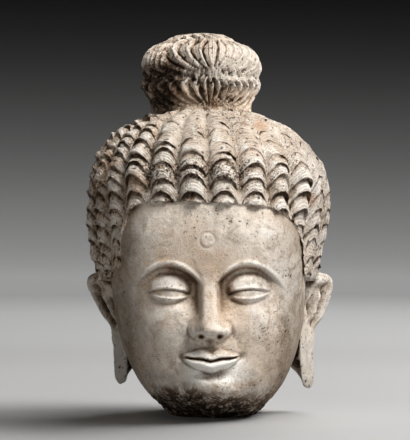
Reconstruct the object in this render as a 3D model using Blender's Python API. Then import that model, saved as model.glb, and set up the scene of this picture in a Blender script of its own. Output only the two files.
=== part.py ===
"""Stucco head of a Buddha, broken from its statue below the chin.

The head is one solid piece. It is sculpted from five closed shells that overlap and are
united: the skull with the face and the broken neck, the cap of wavy hair, the topknot and
the two long ears. Each shell is a stack of rings, and its carving is a height in
millimetres that pushes the surface outwards, worked out by the functions below.

The face looks towards -Y, +X is its left side (right as seen from the front), +Z is up.
The origin is the middle of the flat break that the head stands on. Sizes and angles below
are millimetres and degrees; closed_object() turns them into metres.
"""
import bpy
import numpy as np
from mathutils import Vector, noise

MM = 0.001

# The whole head
LEAN = 1.8                  # degrees that the head leans to -X on its flat break
LEAN_PIVOT = 130.0          # height that the lean leaves in place
MIDDLE_Y = -2.4             # from the skull's own axis to the middle of the whole depth

# Skull: half width, reach to the front and reach to the back, by height
ROUNDNESS = 2.4             # level sections over the jaw: 2 is an ellipse, more is squarer
TEMPLE_ROUNDNESS = 3.0      # and at the temples
HALF_WIDTH = ((0, 38), (5, 43), (12, 50), (20, 57.5), (30, 64.5), (45, 72), (60, 77.5), (75, 81.5),
              (90, 84), (120, 86), (150, 85.5), (180, 83), (195, 81), (215, 72), (235, 55))
FRONT = ((0, 42), (4, 56), (8, 68), (18, 82), (30, 90), (45, 93), (75, 93.5), (105, 94.5),
         (120, 95), (135, 97.5), (150, 99.5), (165, 101), (180, 101), (195, 99), (215, 84), (235, 60))
BACK = ((0, 55), (30, 58), (60, 63), (75, 68), (90, 75), (105, 82), (120, 88), (135, 92),
        (165, 94), (180, 92), (195, 88), (215, 78), (235, 55))
BREAK_TOP = 15.0            # height where the broken underside meets the chin

# Face, on the classical rule of three equal parts from hairline to chin
THIRD = 57.0
CHIN_Z = 16.0
MOUTH_Z = CHIN_Z + THIRD * 2 / 3
NOSE_Z = CHIN_Z + THIRD
BROW_Z = CHIN_Z + 2 * THIRD
EYE_X = 33.6                # a fifth of the face's width from eye to eye
EYE_Z = 114.0
EYE_HALF = 18.0
SLIT_Z = 110.0              # the lowered lids meet below the middle of the eye
MOUTH_HALF = 24.5
NOSE_RIDGE = ((66, 0), (68, 0.8), (70.5, 3), (72.5, 8), (74.5, 15), (77, 19.5), (80, 21),
              (84, 20.5), (90, 18.5), (100, 14), (110, 9.5), (120, 5), (128, 2), (134, 0))
NOSE_HALF = ((66, 10), (73, 11), (77, 12.5), (82, 13), (88, 11.5), (95, 9.5), (105, 8),
             (115, 7), (125, 7.5), (134, 10))
URNA_Z = 155.0              # small disc above the brows
URNA_RADIUS = 5.8

# Hair: columns of locks run down from the crown, each lock ends in an arched lip
HAIR_Z = 185.0              # height of the cap's widest ring
HAIR_X = 2.0
HAIR_SIDE = 102.9
HAIR_FRONT = 103.5
HAIR_BACK = 111.0
HAIR_RISE = 85.0            # from the widest ring up to the crown
HAIR_DROP = 146.0           # from the widest ring down to where the cap would close
HAIR_TUCK = 0.8             # below 1 the cap stays wide further down
HAIR_SQUARE = 0.87          # below 1, the cap is fuller in its shoulders than an ellipse
HAIRLINE_TUCK = 6.0         # how far the hair above the forehead is drawn in
FRINGE_STAND = 1.8          # how far the hair stands off the forehead along the hairline
COLUMNS = 24
COLUMN_HEIGHT = 5.0
COLUMN_MEAN = 3.4           # the part of it that the plain cap already holds
LOCK_HEIGHT = 5.6
LOCK_MEAN = 2.2
LOCK_TURN = 14.14           # degrees from lip to lip above the widest ring
LOCK_TURN_LOW = 10.6        # and below it
LOCKS = 13
FRINGE_LOCK = 5             # the last whole lock above the forehead
ARCH = 0.475                # how far a lip's legs hang down, in locks
ARCH_POWER = 2.4            # 2 is a parabola, more is a rounder arch with steeper legs
LIP_OVERHANG = 0.065
# How much lower the locks lie on each side of the head, by degrees from the crown
LESS_LEFT = ((0, 2.5), (25, 2), (38, 4.4), (52, 2), (62, 3.4), (75, 2.8), (84, 3.4), (92, 0), (100, -0.8),
             (180, 0))
LESS_RIGHT = ((0, 0), (22, 0.5), (36, 2.4), (48, 2), (62, 1.4), (76, -0.6), (86, -1), (96, 0.8), (112, 0.6),
              (180, 0))
LOCK_WAVE = ((0, 0), (0.13, 0.12), (0.32, 0.42), (0.54, 0.72), (0.74, 0.94), (0.9, 1.03), (1, 0.93))
# Degrees down from the crown at which the locks become crisp, by degrees round it
CRISP_FROM = ((-180, 25), (-62, 22), (-45, 40), (-25, 56), (-7, 64), (9, 66), (21, 67), (40, 70),
              (60, 75), (85, 84), (110, 70), (140, 35), (180, 25))
HAIRLINE_Z = 186.5
HAIRLINE_TILT = -0.03
HAIRLINE_HALF = ((-20, 81), (110, 82), (135, 83), (151, 82.5), (161, 80), (168, 77), (174, 72),
                 (179, 66), (183, 57), (185.5, 45), (186.5, 20))
# The hairline comes in further on the -X side
HAIRLINE_LEFT_IN = ((-20, 5), (110, 7), (165, 8), (178, 3), (184, 0), (190, 0))
NAPE_LINE = ((-160, 143), (-76, 135), (-60, 130), (-44, 124), (-28, 120), (-10, 118), (33, 118),
             (42, 103), (52, 88), (63, 77), (78, 70), (160, 66))

# Topknot: its outline from the hair up to its top, as (radius, height)
KNOT_Y = 4.0
KNOT_DEPTH = 0.96           # depth against width
KNOT_OUTLINE = ((40, 256), (43.4, 264), (44.6, 270), (45.4, 276), (48, 283), (51, 288), (53.2, 293.5),
                (53.3, 297), (51.2, 300.5), (52.5, 303.5), (53.4, 309), (52.2, 315), (50.2, 319.5),
                (46.6, 323.5), (41.5, 326.8), (33, 330), (30.5, 331.4), (28.2, 333.2), (21, 336.2),
                (11, 338))
KNOT_TOP = 338.4
KNOT_X = ((256, -1.6), (287, -1.8), (300, 0), (340, 0))
PINCH_Z = 300.5
DOME_Z = 331.0
RIB_HEIGHT = 5.0
# Degrees round the tie at which each rib begins, and the rise and fall across a rib
UPPER_RIBS = ((-180, -11), (-160, -10), (-140, -9), (-122, -8), (-109, -7), (-98, -6), (-92, -5),
              (-85, -4), (-74, -3), (-57, -2), (-37, -1), (5, 0), (47, 1), (74, 2), (92, 3), (105, 4),
              (118, 5), (132, 6), (146, 7), (160, 8), (180, 9))
UPPER_RIB = ((0, 0), (0.07, 0.4), (0.15, 1), (0.26, 0.98), (0.5, 0.62), (0.78, 0.36), (0.93, 0.12), (1, 0))
LOWER_RIBS = ((0, 0), (27.5, 1), (52.5, 2), (71, 3), (84.5, 4), (96, 5), (106, 6), (115.5, 7), (125, 8),
              (134, 9), (143, 10), (152, 11), (161, 12), (170.5, 13), (180, 14))
LOWER_RIB = ((0, 0), (0.14, 0.12), (0.3, 0.6), (0.42, 1), (0.56, 0.96), (0.7, 0.5), (0.86, 0.1), (1, 0))
TIE = Vector((10, -45, 300))
CROWN = Vector((12, -4, 338))
LOWER_MIDDLE = 5.5

# Ears: outer edge and front edge seen from the front, and depth, by height
EAR_BOTTOM = 21.5
EAR_TOP = 124.5
EAR_RIM_X = ((21.5, 87.6), (22.5, 89.6), (25, 91), (30, 92), (40, 92.3), (55, 92.6), (65, 94),
             (75, 94.6), (79, 95.4), (84.5, 100), (90, 102.6), (95, 104.6), (105, 108), (113, 109.9),
             (119, 109), (124.5, 102))
LEFT_EAR_IN = ((20, 5), (70, 5.3), (84, 6.6), (100, 4.8), (112, 2.6), (125, 2))
LEFT_LOBE_RISE = 4.0        # the left lobe is a little shorter
EAR_RIM_Y = ((21.5, 13), (25, 16), (40, 18), (65, 22), (85, 30), (110, 35), (124.5, 32))
EAR_FRONT_X = ((21.5, 84.8), (22.5, 82.7), (25, 81), (30, 79.9), (45, 79.3), (60, 79), (75, 80),
               (95, 83), (124.5, 88))
EAR_FRONT_Y = ((21.5, 8), (25, 3), (30, 0), (45, -3), (75, -5), (105, -4), (124.5, 6))
EAR_ROOT_X = ((21.5, 84), (30, 80), (36, 75), (42, 69), (50, 65), (124.5, 70))
WEB_SET_BACK = ((21.5, 3), (30, 7), (60, 9), (78, 4), (90, 2), (124.5, 2))

# Fineness: how closely each shell is sampled, and the triangles it is thinned out to
FACE_COLUMNS = 132
FACE_ROW = 1.6
FACE_TRIANGLES = 2750
HAIR_STEPS = 6              # mesh columns to a column of locks
LOCK_PHASES = (0.0, 0.2, 0.4, 0.6, 0.8, 1.0)
HAIR_TRIANGLES = 4880
KNOT_COLUMNS = 160
KNOT_ROWS = 44
KNOT_TRIANGLES = 1350
EAR_FACE_STEPS = 24
EAR_ROW = 2.0
EAR_TRIANGLES = 560


# ---------------------------------------------------------------- shaping helpers

def smoothstep(low, high, value):
    """0 at low, 1 at high, and an even ramp between them."""
    share = np.clip((value - low) / (high - low), 0.0, 1.0)
    return share * share * (3.0 - 2.0 * share)


def mound(across, up):
    """Round bump: 1 where both are 0, and 0 from a distance of 1 on."""
    inside = np.clip(1.0 - across ** 2 - up ** 2, 0.0, 1.0)
    return inside * inside


def ridge(offset, width):
    """Soft line along offset 0."""
    return np.exp(-(offset / width) ** 2)


def soft_max(first, second, blend=1.5):
    """The larger of two heights, with a small fillet where they meet."""
    return 0.5 * (first + second + np.sqrt((first - second) ** 2 + blend ** 2) - blend)


def through(knots, place):
    """Smooth curve through (place, value) knots that never overshoots between them."""
    at, value = np.array(knots, float).T
    step = np.diff(at)
    slope = np.diff(value) / step
    pair = slope[:-1] * slope[1:]
    total = slope[:-1] + slope[1:]
    inner = np.where(pair > 0, 2 * pair / np.where(pair > 0, total, 1.0), 0.0)
    tangent = np.concatenate([slope[:1], inner, slope[-1:]])
    place = np.clip(place, at[0], at[-1])
    span = np.clip(np.searchsorted(at, place, side="right") - 1, 0, len(step) - 1)
    share = (place - at[span]) / step[span]
    back = 1.0 - share
    start = (1 + 2 * share) * back ** 2 * value[span] + share * back ** 2 * step[span] * tangent[span]
    end = (1 + 2 * back) * share ** 2 * value[span + 1]
    return start + end - back * share ** 2 * step[span] * tangent[span + 1]


def uneven(points, size, octaves=3):
    """Gentle unevenness between about -1 and 1, with lumps of the given size."""
    flat = points.reshape(-1, 3) / size
    lumps = [noise.fractal(point, 1.0, 2.0, octaves) for point in flat.tolist()]
    return np.array(lumps).reshape(points.shape[:-1])


# ---------------------------------------------------------------- skull and face

def sockets(x, z):
    """Eye sockets: a crisp step under each brow that fades out down the cheek."""
    side = np.abs(x)
    below_brow = BROW_Z + 4.5 - (side - EYE_X) ** 2 / 46.6 - z
    depth = through(((5, 8), (14, 7.5), (34, 6), (50, 4), (60, 2), (66, 0)), side)
    reach = smoothstep(-0.6, 3.0, below_brow) * (1 - smoothstep(16, 42, below_brow))
    brow = 1.3 * ridge(below_brow + 1.6, 2.2) * smoothstep(4, 12, side) * (1 - smoothstep(52, 66, side))
    return brow - depth * reach * smoothstep(5, 11, side)


def eyes(x, z):
    """Full eyeballs half covered by heavy lowered lids with rolled edges."""
    side = np.abs(x)
    across = (side - EYE_X) / EYE_HALF
    ball = np.clip(1 - across ** 2 - ((z - EYE_Z) / 13.0) ** 2, 0, 1)
    span = np.clip(1 - (across / 0.97) ** 2, 0, 1)
    inside = smoothstep(0.0, 0.22, span)
    corners = SLIT_Z + 0.8 * across
    upper_lid = corners + 3.6 * span ** 0.85
    lower_lid = corners - 3.4 * span ** 0.85
    slit = smoothstep(-0.4, 0.5, upper_lid - z) * smoothstep(-0.5, 0.4, z - lower_lid)
    rolled = 0.8 * ridge(z - upper_lid - 1.3, 1.3) + 1.0 * ridge(z - lower_lid + 1.4, 1.2)
    lash = 1.1 * ridge(z - upper_lid + 0.6, 0.75)
    bag = 0.5 * ridge(z - lower_lid + 4.8, 2.2)
    return 7.0 * ball ** 0.72 + (rolled - 1.3 * slit - lash - bag) * inside


def nose(x, z):
    """Straight nose that runs up into the brows, with its wings and nostrils."""
    side = np.abs(x)
    bridge = through(NOSE_RIDGE, z) / (1 + (x / through(NOSE_HALF, z)) ** 4)
    tip = 2.0 * mound(x / 9.0, (z - NOSE_Z - 8) / 9.0)
    wing = np.clip(1 - ((side - 12.0) / 6.8) ** 2 - ((z - NOSE_Z - 6.3) / 7.6) ** 2, 0, 1)
    crease = 0.9 * ridge(np.hypot((side - 12.0) / 6.8, (z - NOSE_Z - 6.3) / 7.6) - 1.1, 0.18)
    crease = crease * smoothstep(11, 15, side) * smoothstep(NOSE_Z - 2, NOSE_Z + 3, z)
    nostrils = 9.0 * mound((side - 7.2) / 4.6, (z - NOSE_Z - 1.6) / 3.8)
    return soft_max(bridge + tip, 11.5 * wing ** 0.7, 1.2) - crease - nostrils


def mouth(x, z):
    """Closed full lips with a bow, and corners that turn up a little."""
    across = x / MOUTH_HALF
    side = np.abs(x)
    line = MOUTH_Z + 2.6 * across ** 2 - 1.1 * ridge(x, 4.5) + 0.5 * ridge(side - 9, 4.0)
    thick = np.clip(1 - across ** 2, 0, 1) ** 0.7
    bow = 1 - 0.2 * ridge(x, 3.0) + 0.08 * ridge(side - 6, 3.0)
    above = (z - line) / (0.01 + 8.6 * thick * bow)
    below = (line - z) / (0.01 + 11.5 * thick)
    inside = smoothstep(0.02, 0.35, thick)
    upper = through(((0, 2.6), (0.12, 4.6), (0.3, 5.6), (0.75, 4.2), (0.9, 4.0), (1.06, 0)), above)
    lower = through(((0, 2.6), (0.12, 5.2), (0.35, 7.0), (0.6, 6.2), (0.8, 3.6), (0.95, 0)), below)
    lips = np.where(z > line, upper, lower) * inside
    muzzle = 4.5 * mound(x / 38.0, (z - MOUTH_Z - 2) / 28.0)
    parting = 2.2 * ridge(z - line, 0.85) * smoothstep(0, 0.2, thick)
    dimples = 2.2 * mound((side - MOUTH_HALF - 1.2) / 6.0, (z - MOUTH_Z - 2.4) / 5.6)
    groove = 1.2 * ridge(x, 3.0) * smoothstep(61, 64, z) * (1 - smoothstep(69, 73, z))
    fold = 0.8 * ridge(side - 21 - (72 - z) * 0.45, 3.0)
    fold = fold * smoothstep(56, 64, z) * (1 - smoothstep(74, 84, z))
    return muzzle + lips - parting - dimples - groove - fold


def face(x, z):
    """How far the carved face stands in front of the plain skull."""
    side = np.abs(x)
    cheeks = 3.6 * mound((side - 43) / 32.0, (z - 84) / 32.0)
    chin = 8.5 * mound(x / 27.0, (z - CHIN_Z - 13.5) / 18.0)
    under_lip = 3.4 * mound(x / 20.0, (z - CHIN_Z - 24.5) / 6.5)
    from_urna = np.hypot(x, z - URNA_Z) - URNA_RADIUS
    urna = 0.6 * smoothstep(0.8, -0.8, from_urna) - 0.8 * ridge(from_urna - 0.5, 0.7)
    parts = sockets(x, z) + eyes(x, z) + nose(x, z) + mouth(x, z)
    return parts + cheeks + chin - under_lip + urna


def plain_skull(turn, height):
    """How far the skull reaches from its axis, without the face."""
    side = through(HALF_WIDTH, height)
    deep = np.where(np.cos(turn) > 0, through(FRONT, height), through(BACK, height))
    squarer = smoothstep(95, 140, height) - 0.75 * smoothstep(158, 188, height)
    power = ROUNDNESS + (TEMPLE_ROUNDNESS - ROUNDNESS) * squarer
    squareness = np.abs(np.sin(turn) / side) ** power + np.abs(np.cos(turn) / deep) ** power
    return squareness ** (-1.0 / power)


def skull_points(turn, height):
    """Rings of the skull, with the face on its front and the rough break below."""
    turn, height = np.meshgrid(turn, height)
    radius = plain_skull(turn, height)
    points = np.stack([radius * np.sin(turn), -radius * np.cos(turn), height], axis=-1)
    broken = 1 - smoothstep(BREAK_TOP - 3, BREAK_TOP + 3, height)
    rough = 1 + 0.045 * broken * uneven(points, 14.0)
    points[..., :2] *= rough[..., None]
    points[..., 1] -= face(points[..., 0], height) * smoothstep(0.3, 0.55, np.cos(turn)) * (1 - broken)
    return points


def skull():
    """Skull with the face; its columns stand closer together on the face."""
    even = np.linspace(-np.pi, np.pi, FACE_COLUMNS, endpoint=False)
    turn = even - 0.42 * np.sin(even)
    height = np.arange(-8.0, 235.0, FACE_ROW)
    points = skull_points(turn, height)
    head = closed_object("buddha_head", points, (0, 0, -9), (0, 0, 240), FACE_TRIANGLES)
    ground = [(x, y, 0.0) for x, y in ((-99, -99), (99, -99), (99, 99), (-99, 99))]
    cut(head, prism("ground", ground, (0, 0, -30)))
    return head


# ---------------------------------------------------------------- hair

def lock_polar(lock):
    """Degrees from the crown at which a place counted in locks lies."""
    knee = (90.0 - LOCK_TURN) / LOCK_TURN
    return LOCK_TURN * (1 + np.minimum(lock, knee)) + LOCK_TURN_LOW * np.maximum(lock - knee, 0.0)


def crispness(turn, polar):
    """1 where the locks are still crisp, and 0 where they are rubbed away above the forehead."""
    edge = through(CRISP_FROM, turn)
    return smoothstep(edge - 9, edge + 5, polar)


def hair_points():
    """Rings that follow the arched lips, pushed out by columns and waves of hair."""
    turn = np.arange(COLUMNS * HAIR_STEPS) * 360.0 / (COLUMNS * HAIR_STEPS) - 180.0
    column = np.floor(turn * COLUMNS / 360.0 + 1e-6)
    across = 2 * (turn * COLUMNS / 360.0 - column) - 1
    phases = np.array(LOCK_PHASES)
    phase = np.tile(phases, LOCKS + 1)[:, None]
    number = np.repeat(np.arange(-1, LOCKS), len(phases))[:, None]
    lock = number + phase
    arch = ARCH * np.sin(np.radians(np.minimum(lock_polar(lock), 150)))
    evenness = smoothstep(FRINGE_LOCK - 1.5, FRINGE_LOCK, lock)
    evenness = evenness * smoothstep(FRINGE_LOCK + 4, FRINGE_LOCK + 2, lock)
    chance = np.random.default_rng(5)
    depths = chance.random((LOCKS + 1, COLUMNS))
    tilts = chance.random((LOCKS + 1, COLUMNS)) - 0.5
    which = column.astype(int) % COLUMNS
    shift = 0.25 * np.sin(2.4 * column + 1.9 * lock) * (1 - across ** 2)
    shift = (shift + 0.7 * tilts[number + 1, which] * across * (1 - across ** 2)) * (1 - evenness)
    placed = lock + arch * np.abs(across) ** ARCH_POWER + shift
    crisp = crispness(turn, lock_polar(placed))
    placed = placed - LIP_OVERHANG * (phase == 0) * (0.3 + 0.7 * crisp) * (1 - across ** 2)
    polar = np.clip(lock_polar(placed), 1.0, 178.0)
    turn = np.broadcast_to(turn, polar.shape)
    inwards = np.where(turn < 0, 10, 0)
    middle = 1 - smoothstep(44 - inwards, 64 - inwards, np.abs(turn))

    strength = 0.45 + 0.55 * depths[number + 1, which]
    strength = np.where(number == FRINGE_LOCK, strength + middle * (1.05 - strength), strength)
    strength = np.where(number == FRINGE_LOCK + 1, strength * (1 - 0.6 * middle), strength)
    jagged = mound((turn + 85) / 50.0, (polar - 58) / 42.0)
    strength = strength * (1 + 0.25 * jagged)

    wave = through(LOCK_WAVE, phase)
    close = smoothstep(-38, -54, turn) * smoothstep(40, 54, polar)
    wave = wave + close * (0.42 * wave + 0.5 * through(LOCK_WAVE, 2 * phase % 1) - wave)
    wave = wave * (1 - np.abs(across) ** 4)
    lips = LOCK_HEIGHT * strength * wave - LOCK_MEAN
    side = smoothstep(56, 68, turn) * smoothstep(134, 112, turn) * smoothstep(46, 64, polar)
    least = 0.3 - 0.22 * smoothstep(-5, 20, turn)
    lips = lips * (least + (1 - least) * crisp) * (1 - 0.75 * side)
    rounded = COLUMN_HEIGHT * np.clip(1 - (across / 0.93) ** 2, 0, 1) ** 0.6 - COLUMN_MEAN
    rubbed = (1 - crisp) * smoothstep(6, 24, turn) * smoothstep(150, 110, turn)
    rounded = rounded * (1 - 0.85 * rubbed) * (1 - 0.2 * (1 - crisp)) * (1 - 0.4 * side)
    points, outward = hair_form(np.radians(turn), np.radians(polar))
    fullness = np.minimum(1, np.sin(np.radians(polar)) * 1.5)
    tuck = HAIRLINE_TUCK * middle * smoothstep(70, 88, polar)
    height = fullness * (COLUMN_MEAN + LOCK_MEAN + rounded + lips) - tuck
    height = height + 0.9 * uneven(points, 26.0)
    height = height - through(LESS_LEFT, polar) * smoothstep(-35, -60, turn)
    height = height - through(LESS_RIGHT, polar) * smoothstep(45, 62, turn)
    height = height - 4.0 * smoothstep(94, 106, polar) * mound((turn - 95) / 50.0, 0.0)
    return off_forehead(points + outward * height[..., None])


def off_forehead(points):
    """Keeps the hair a little proud of the forehead all along the hairline."""
    x, y, z = np.moveaxis(points, -1, 0)
    turn = np.arctan2(x, -y)
    reach = np.hypot(x, y)
    near = smoothstep(207, 197, z)
    least = plain_skull(turn, np.maximum(z, 110.0)) + FRINGE_STAND
    grown = 1 + near * (np.maximum(least / reach, 1) - 1)
    return np.stack([x * grown, y * grown, z], axis=-1)


def hair_form(turn, polar):
    """Plain cap under the locks, and the way out of it at each place."""
    low = polar > np.pi / 2
    ring = np.sin(polar) ** np.where(low, HAIR_TUCK, HAIR_SQUARE)
    level = np.where(low, np.cos(polar), np.abs(np.cos(polar)) ** HAIR_SQUARE)
    rise = np.where(low, HAIR_DROP, HAIR_RISE)
    deep = np.where(np.cos(turn) > 0, HAIR_FRONT, HAIR_BACK)
    off_temple = np.abs(np.degrees(turn)) - 60
    temple = 0.07 * mound(off_temple / 34.0, 0.0) * smoothstep(75, 100, np.degrees(polar))
    ring = ring * (1 - temple)
    points = np.stack([HAIR_SIDE * ring * np.sin(turn), -deep * ring * np.cos(turn), rise * level],
                      axis=-1)
    outward = points / np.stack([np.full_like(ring, HAIR_SIDE), deep, rise], axis=-1) ** 2
    outward /= np.linalg.norm(outward, axis=-1, keepdims=True)
    return points + np.array([HAIR_X, 0, HAIR_Z]), outward


def hair():
    """Cap of hair, cut open round the face and along the nape."""
    crown = (HAIR_X, 0, HAIR_Z + HAIR_RISE + 1)
    low = (HAIR_X, 0, HAIR_Z - HAIR_DROP)
    cap = closed_object("hair", hair_points()[::-1], low, crown, HAIR_TRIANGLES)
    height = np.concatenate([np.arange(HAIRLINE_HALF[0][0], 160, 6), np.linspace(160, HAIRLINE_Z, 18)])
    half = through(HAIRLINE_HALF, height)
    right = [(x, z) for x, z in zip(half, height)]
    left = [(-x, z) for x, z in zip(half - through(HAIRLINE_LEFT_IN, height), height)][::-1]
    edge = [(x, -200.0, z + HAIRLINE_TILT * x * (z > 150)) for x, z in right + left]
    cut(cap, prism("face_opening", edge, (0, 205, 0)))
    below = list(NAPE_LINE) + [(160, -60), (-160, -60)]
    cut(cap, prism("nape_opening", [(-160.0, y, z) for y, z in below], (320, 0, 0)))
    return cap


# ---------------------------------------------------------------- topknot

def knot_points(columns, rows):
    """Two lobes and a flat cap, with ribs of hair drawn together at the tie in front."""
    radius, height = np.array(KNOT_OUTLINE, float).T
    run = np.concatenate([[0], np.cumsum(np.hypot(np.diff(radius), np.diff(height)))])
    place = np.linspace(0, run[-1], rows)
    r = through(np.column_stack([run, radius]), place)
    z = through(np.column_stack([run, height]), place)
    slope = np.stack([np.gradient(z, place), -np.gradient(r, place)])
    slope /= np.linalg.norm(slope, axis=0)
    turn = np.arange(columns) * 2 * np.pi / columns - np.pi
    turn = turn - 0.4 * np.sin(turn)
    way = np.stack([np.sin(turn), -KNOT_DEPTH * np.cos(turn)], axis=-1)
    points = np.empty((rows, columns, 3))
    points[..., :2] = r[:, None, None] * way + np.array([0, KNOT_Y])
    points[..., 0] += through(KNOT_X, z)[:, None]
    points[..., 2] = z[:, None]
    outward = np.empty_like(points)
    outward[..., :2] = slope[0][:, None, None] * way
    outward[..., 2] = slope[1][:, None]
    return points + outward * ribs(points, turn)[..., None]


def rib_places(points):
    """Where each point lies, counted in ribs, on the upper and on the lower lobe."""
    along = np.array((CROWN - TIE).normalized())
    from_tie = points - np.array(TIE)
    off = from_tie - (from_tie @ along)[..., None] * along
    down = np.cross([1.0, 0, 0], along)
    around = np.degrees(np.arctan2(off[..., 0], off @ down))
    near_tie = smoothstep(2, 9, np.linalg.norm(off, axis=-1))
    level = np.clip((points[..., 2] - 268) / (PINCH_Z - 268), 0, 1)
    axis = -30 - 13 * (2 * level - 1) ** 2
    gathered = np.degrees(np.arctan2(points[..., 0] - LOWER_MIDDLE, axis - points[..., 1]))
    return np.abs(through(UPPER_RIBS, around)), through(LOWER_RIBS, np.abs(gathered)), near_tie


def ribs(points, turn):
    """Height of the topknot's ribs: broad bands with a raised lip beside each sharp groove."""
    number, lower, near_tie = rib_places(points)
    upper = through(UPPER_RIB, number - np.floor(number))
    upper = np.where(number < 0.28, np.maximum(upper, 0.86), upper)
    lower = through(LOWER_RIB, lower - np.floor(lower))
    top = 20 + 7.0 * turn[None, :] / np.pi + 0.16 * (points[..., 2] - DOME_Z)
    petals = 0.4 + 0.6 * through(UPPER_RIB, top - np.floor(top))
    is_upper = smoothstep(PINCH_Z - 1, PINCH_Z + 1, points[..., 2])
    is_dome = smoothstep(DOME_Z - 0.5, DOME_Z + 1, points[..., 2])
    carved = lower + (0.75 + (upper - 0.75) * near_tie - lower) * is_upper
    carved = carved + (petals - carved) * is_dome
    worn = 1 - 0.68 * smoothstep(8, 22, points[..., 0]) * smoothstep(PINCH_Z, PINCH_Z + 6, points[..., 2])
    in_front = smoothstep(-20, 0, points[..., 0])
    worn = worn * (1 - (0.3 + 0.4 * in_front) * ridge(points[..., 2] - PINCH_Z, 3.5))
    worn = worn * (1 - 0.3 * smoothstep(-28, -40, points[..., 0]) * is_upper)
    sunk = smoothstep(273, 283, points[..., 2]) * smoothstep(KNOT_TOP, KNOT_TOP - 4, points[..., 2])
    return RIB_HEIGHT * (carved - 0.75) * worn * sunk


def topknot():
    """Topknot standing on the crown."""
    points = knot_points(KNOT_COLUMNS, KNOT_ROWS)
    return closed_object("topknot", points, (KNOT_X[0][1], KNOT_Y, 255), (0, KNOT_Y, KNOT_TOP),
                         KNOT_TRIANGLES)


# ---------------------------------------------------------------- ears

def ear_carving(share, z):
    """Height of the ear's front surface; share runs from its front edge to its rim."""
    rim = 4.6 * smoothstep(0.74, 0.86, share) * smoothstep(72, 82, z)
    brim = 4.6 * smoothstep(111, 117, z) * smoothstep(0.15, 0.4, share)
    inner_ridge = 3.2 * ridge(share - 0.56, 0.08) * smoothstep(80, 88, z) * (1 - smoothstep(104, 110, z))
    fork = 1.6 * ridge(share - 0.56 - (z - 98) * 0.016, 0.07) * smoothstep(98, 102, z) * (z < 112)
    bowl = 6.0 * mound((share - 0.36) / 0.2, (z - 93) / 15.0)
    bowl = bowl + 6.0 * mound((share - 0.37) / 0.13, (z - 90) / 8.0)
    bowl = bowl + 6.0 * mound((share - 0.12) / 0.1, (z - 98) / 7.0)
    channel = 6.0 * mound((share - 0.7) / 0.13, (z - 94) / 24.0)
    flap = 2.5 * mound((share - 0.14) / 0.14, (z - 86) / 8.0)
    fold = 2.0 * ridge(share - 0.5, 0.13) * smoothstep(80, 66, z) * smoothstep(26, 38, z)
    return np.maximum(rim, brim) + inner_ridge + fork + flap - bowl - channel - fold


def ear_points(steps, rows, side):
    """Rings round one ear: carved front, rim, back, root in the skull, and the web."""
    z = np.linspace(EAR_BOTTOM, EAR_TOP, rows)
    front = np.stack([through(EAR_FRONT_X, z), through(EAR_FRONT_Y, z)], axis=-1)
    rim = np.stack([through(EAR_RIM_X, z), through(EAR_RIM_Y, z)], axis=-1)
    root_x = through(EAR_ROOT_X, z)
    web_y = front[:, 1] + through(WEB_SET_BACK, z)
    back_y = rim[:, 1] + 3.0
    face_way = rim - front
    length = np.linalg.norm(face_way, axis=1, keepdims=True)
    outward = np.stack([face_way[:, 1], -face_way[:, 0]], axis=-1) / length
    share = np.linspace(0, 1, steps + 1)
    carved = ear_carving(share[None, :], z[:, None])
    belly = 2.4 * np.sqrt(np.clip(1 - (2 * share - 1) ** 2, 0, 1)) * smoothstep(84, 66, z)[:, None]
    line = front[:, None] + share[None, :, None] * face_way[:, None]
    line = line + outward[:, None] * (carved + belly)[..., None]
    corners = [
        rim + np.array([0.4, 3.0]),
        np.stack([rim[:, 0] - 3.0, back_y + 3.0], axis=-1),
        np.stack([0.5 * (rim[:, 0] + root_x), back_y + 3.0], axis=-1),
        np.stack([root_x, back_y], axis=-1),
        np.stack([root_x, 0.5 * (back_y + web_y)], axis=-1),
        np.stack([root_x, web_y], axis=-1),
        np.stack([0.5 * (root_x + front[:, 0]), web_y], axis=-1),
        np.stack([front[:, 0] + 0.6, web_y - 0.5], axis=-1),
    ]
    plan = np.concatenate([line, np.stack(corners, axis=1)], axis=1)
    height = np.broadcast_to(z[:, None, None], plan.shape[:2] + (1,))
    points = np.concatenate([plan, height], axis=-1)
    if side < 0:
        points[..., 0] -= through(LEFT_EAR_IN, z)[:, None]
        points[..., 2] += LEFT_LOBE_RISE * smoothstep(75, EAR_BOTTOM, points[..., 2])
        points = points[:, ::-1] * np.array([-1, 1, 1])
    return points


def ear(name, side):
    """One long ear; side is 1 for +X and -1 for -X."""
    rows = int((EAR_TOP - EAR_BOTTOM) / EAR_ROW)
    points = ear_points(EAR_FACE_STEPS, rows, side)
    low = points[0].mean(axis=0) - np.array([0, 0, 1.0])
    high = points[-1].mean(axis=0) + np.array([0, 0, 1.0])
    return closed_object(name, points, low, high, EAR_TRIANGLES)


# ---------------------------------------------------------------- building

def leaned(points):
    """Lean the head and centre its depth on the origin."""
    moved = np.array(points, float)
    moved[..., 0] += np.tan(np.radians(LEAN)) * (LEAN_PIVOT - moved[..., 2])
    moved[..., 1] += MIDDLE_Y
    return moved


def closed_object(name, rings, low, high, triangles):
    """Closed mesh object from rings that run round anticlockwise, lowest ring first.

    It is thinned out to about so many triangles, which gather where the carving is.
    """
    rows, columns = rings.shape[:2]
    points = np.concatenate([rings.reshape(-1, 3), [low, high]])
    index = np.arange(rows * columns).reshape(rows, columns)
    after = np.roll(index, -1, axis=1)
    sides = np.stack([index[:-1], after[:-1], after[1:], index[1:]], axis=-1).reshape(-1, 4)
    faces = sides.tolist()
    faces += [(b, a, rows * columns) for a, b in zip(index[0].tolist(), after[0].tolist())]
    faces += [(a, b, rows * columns + 1) for a, b in zip(index[-1].tolist(), after[-1].tolist())]
    shell = mesh_object(name, leaned(points) * MM, faces)
    thinned = shell.modifiers.new("thin out", 'DECIMATE')
    thinned.ratio = triangles / (2 * rows * columns)
    thinned.use_collapse_triangulate = True
    return shell


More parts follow.
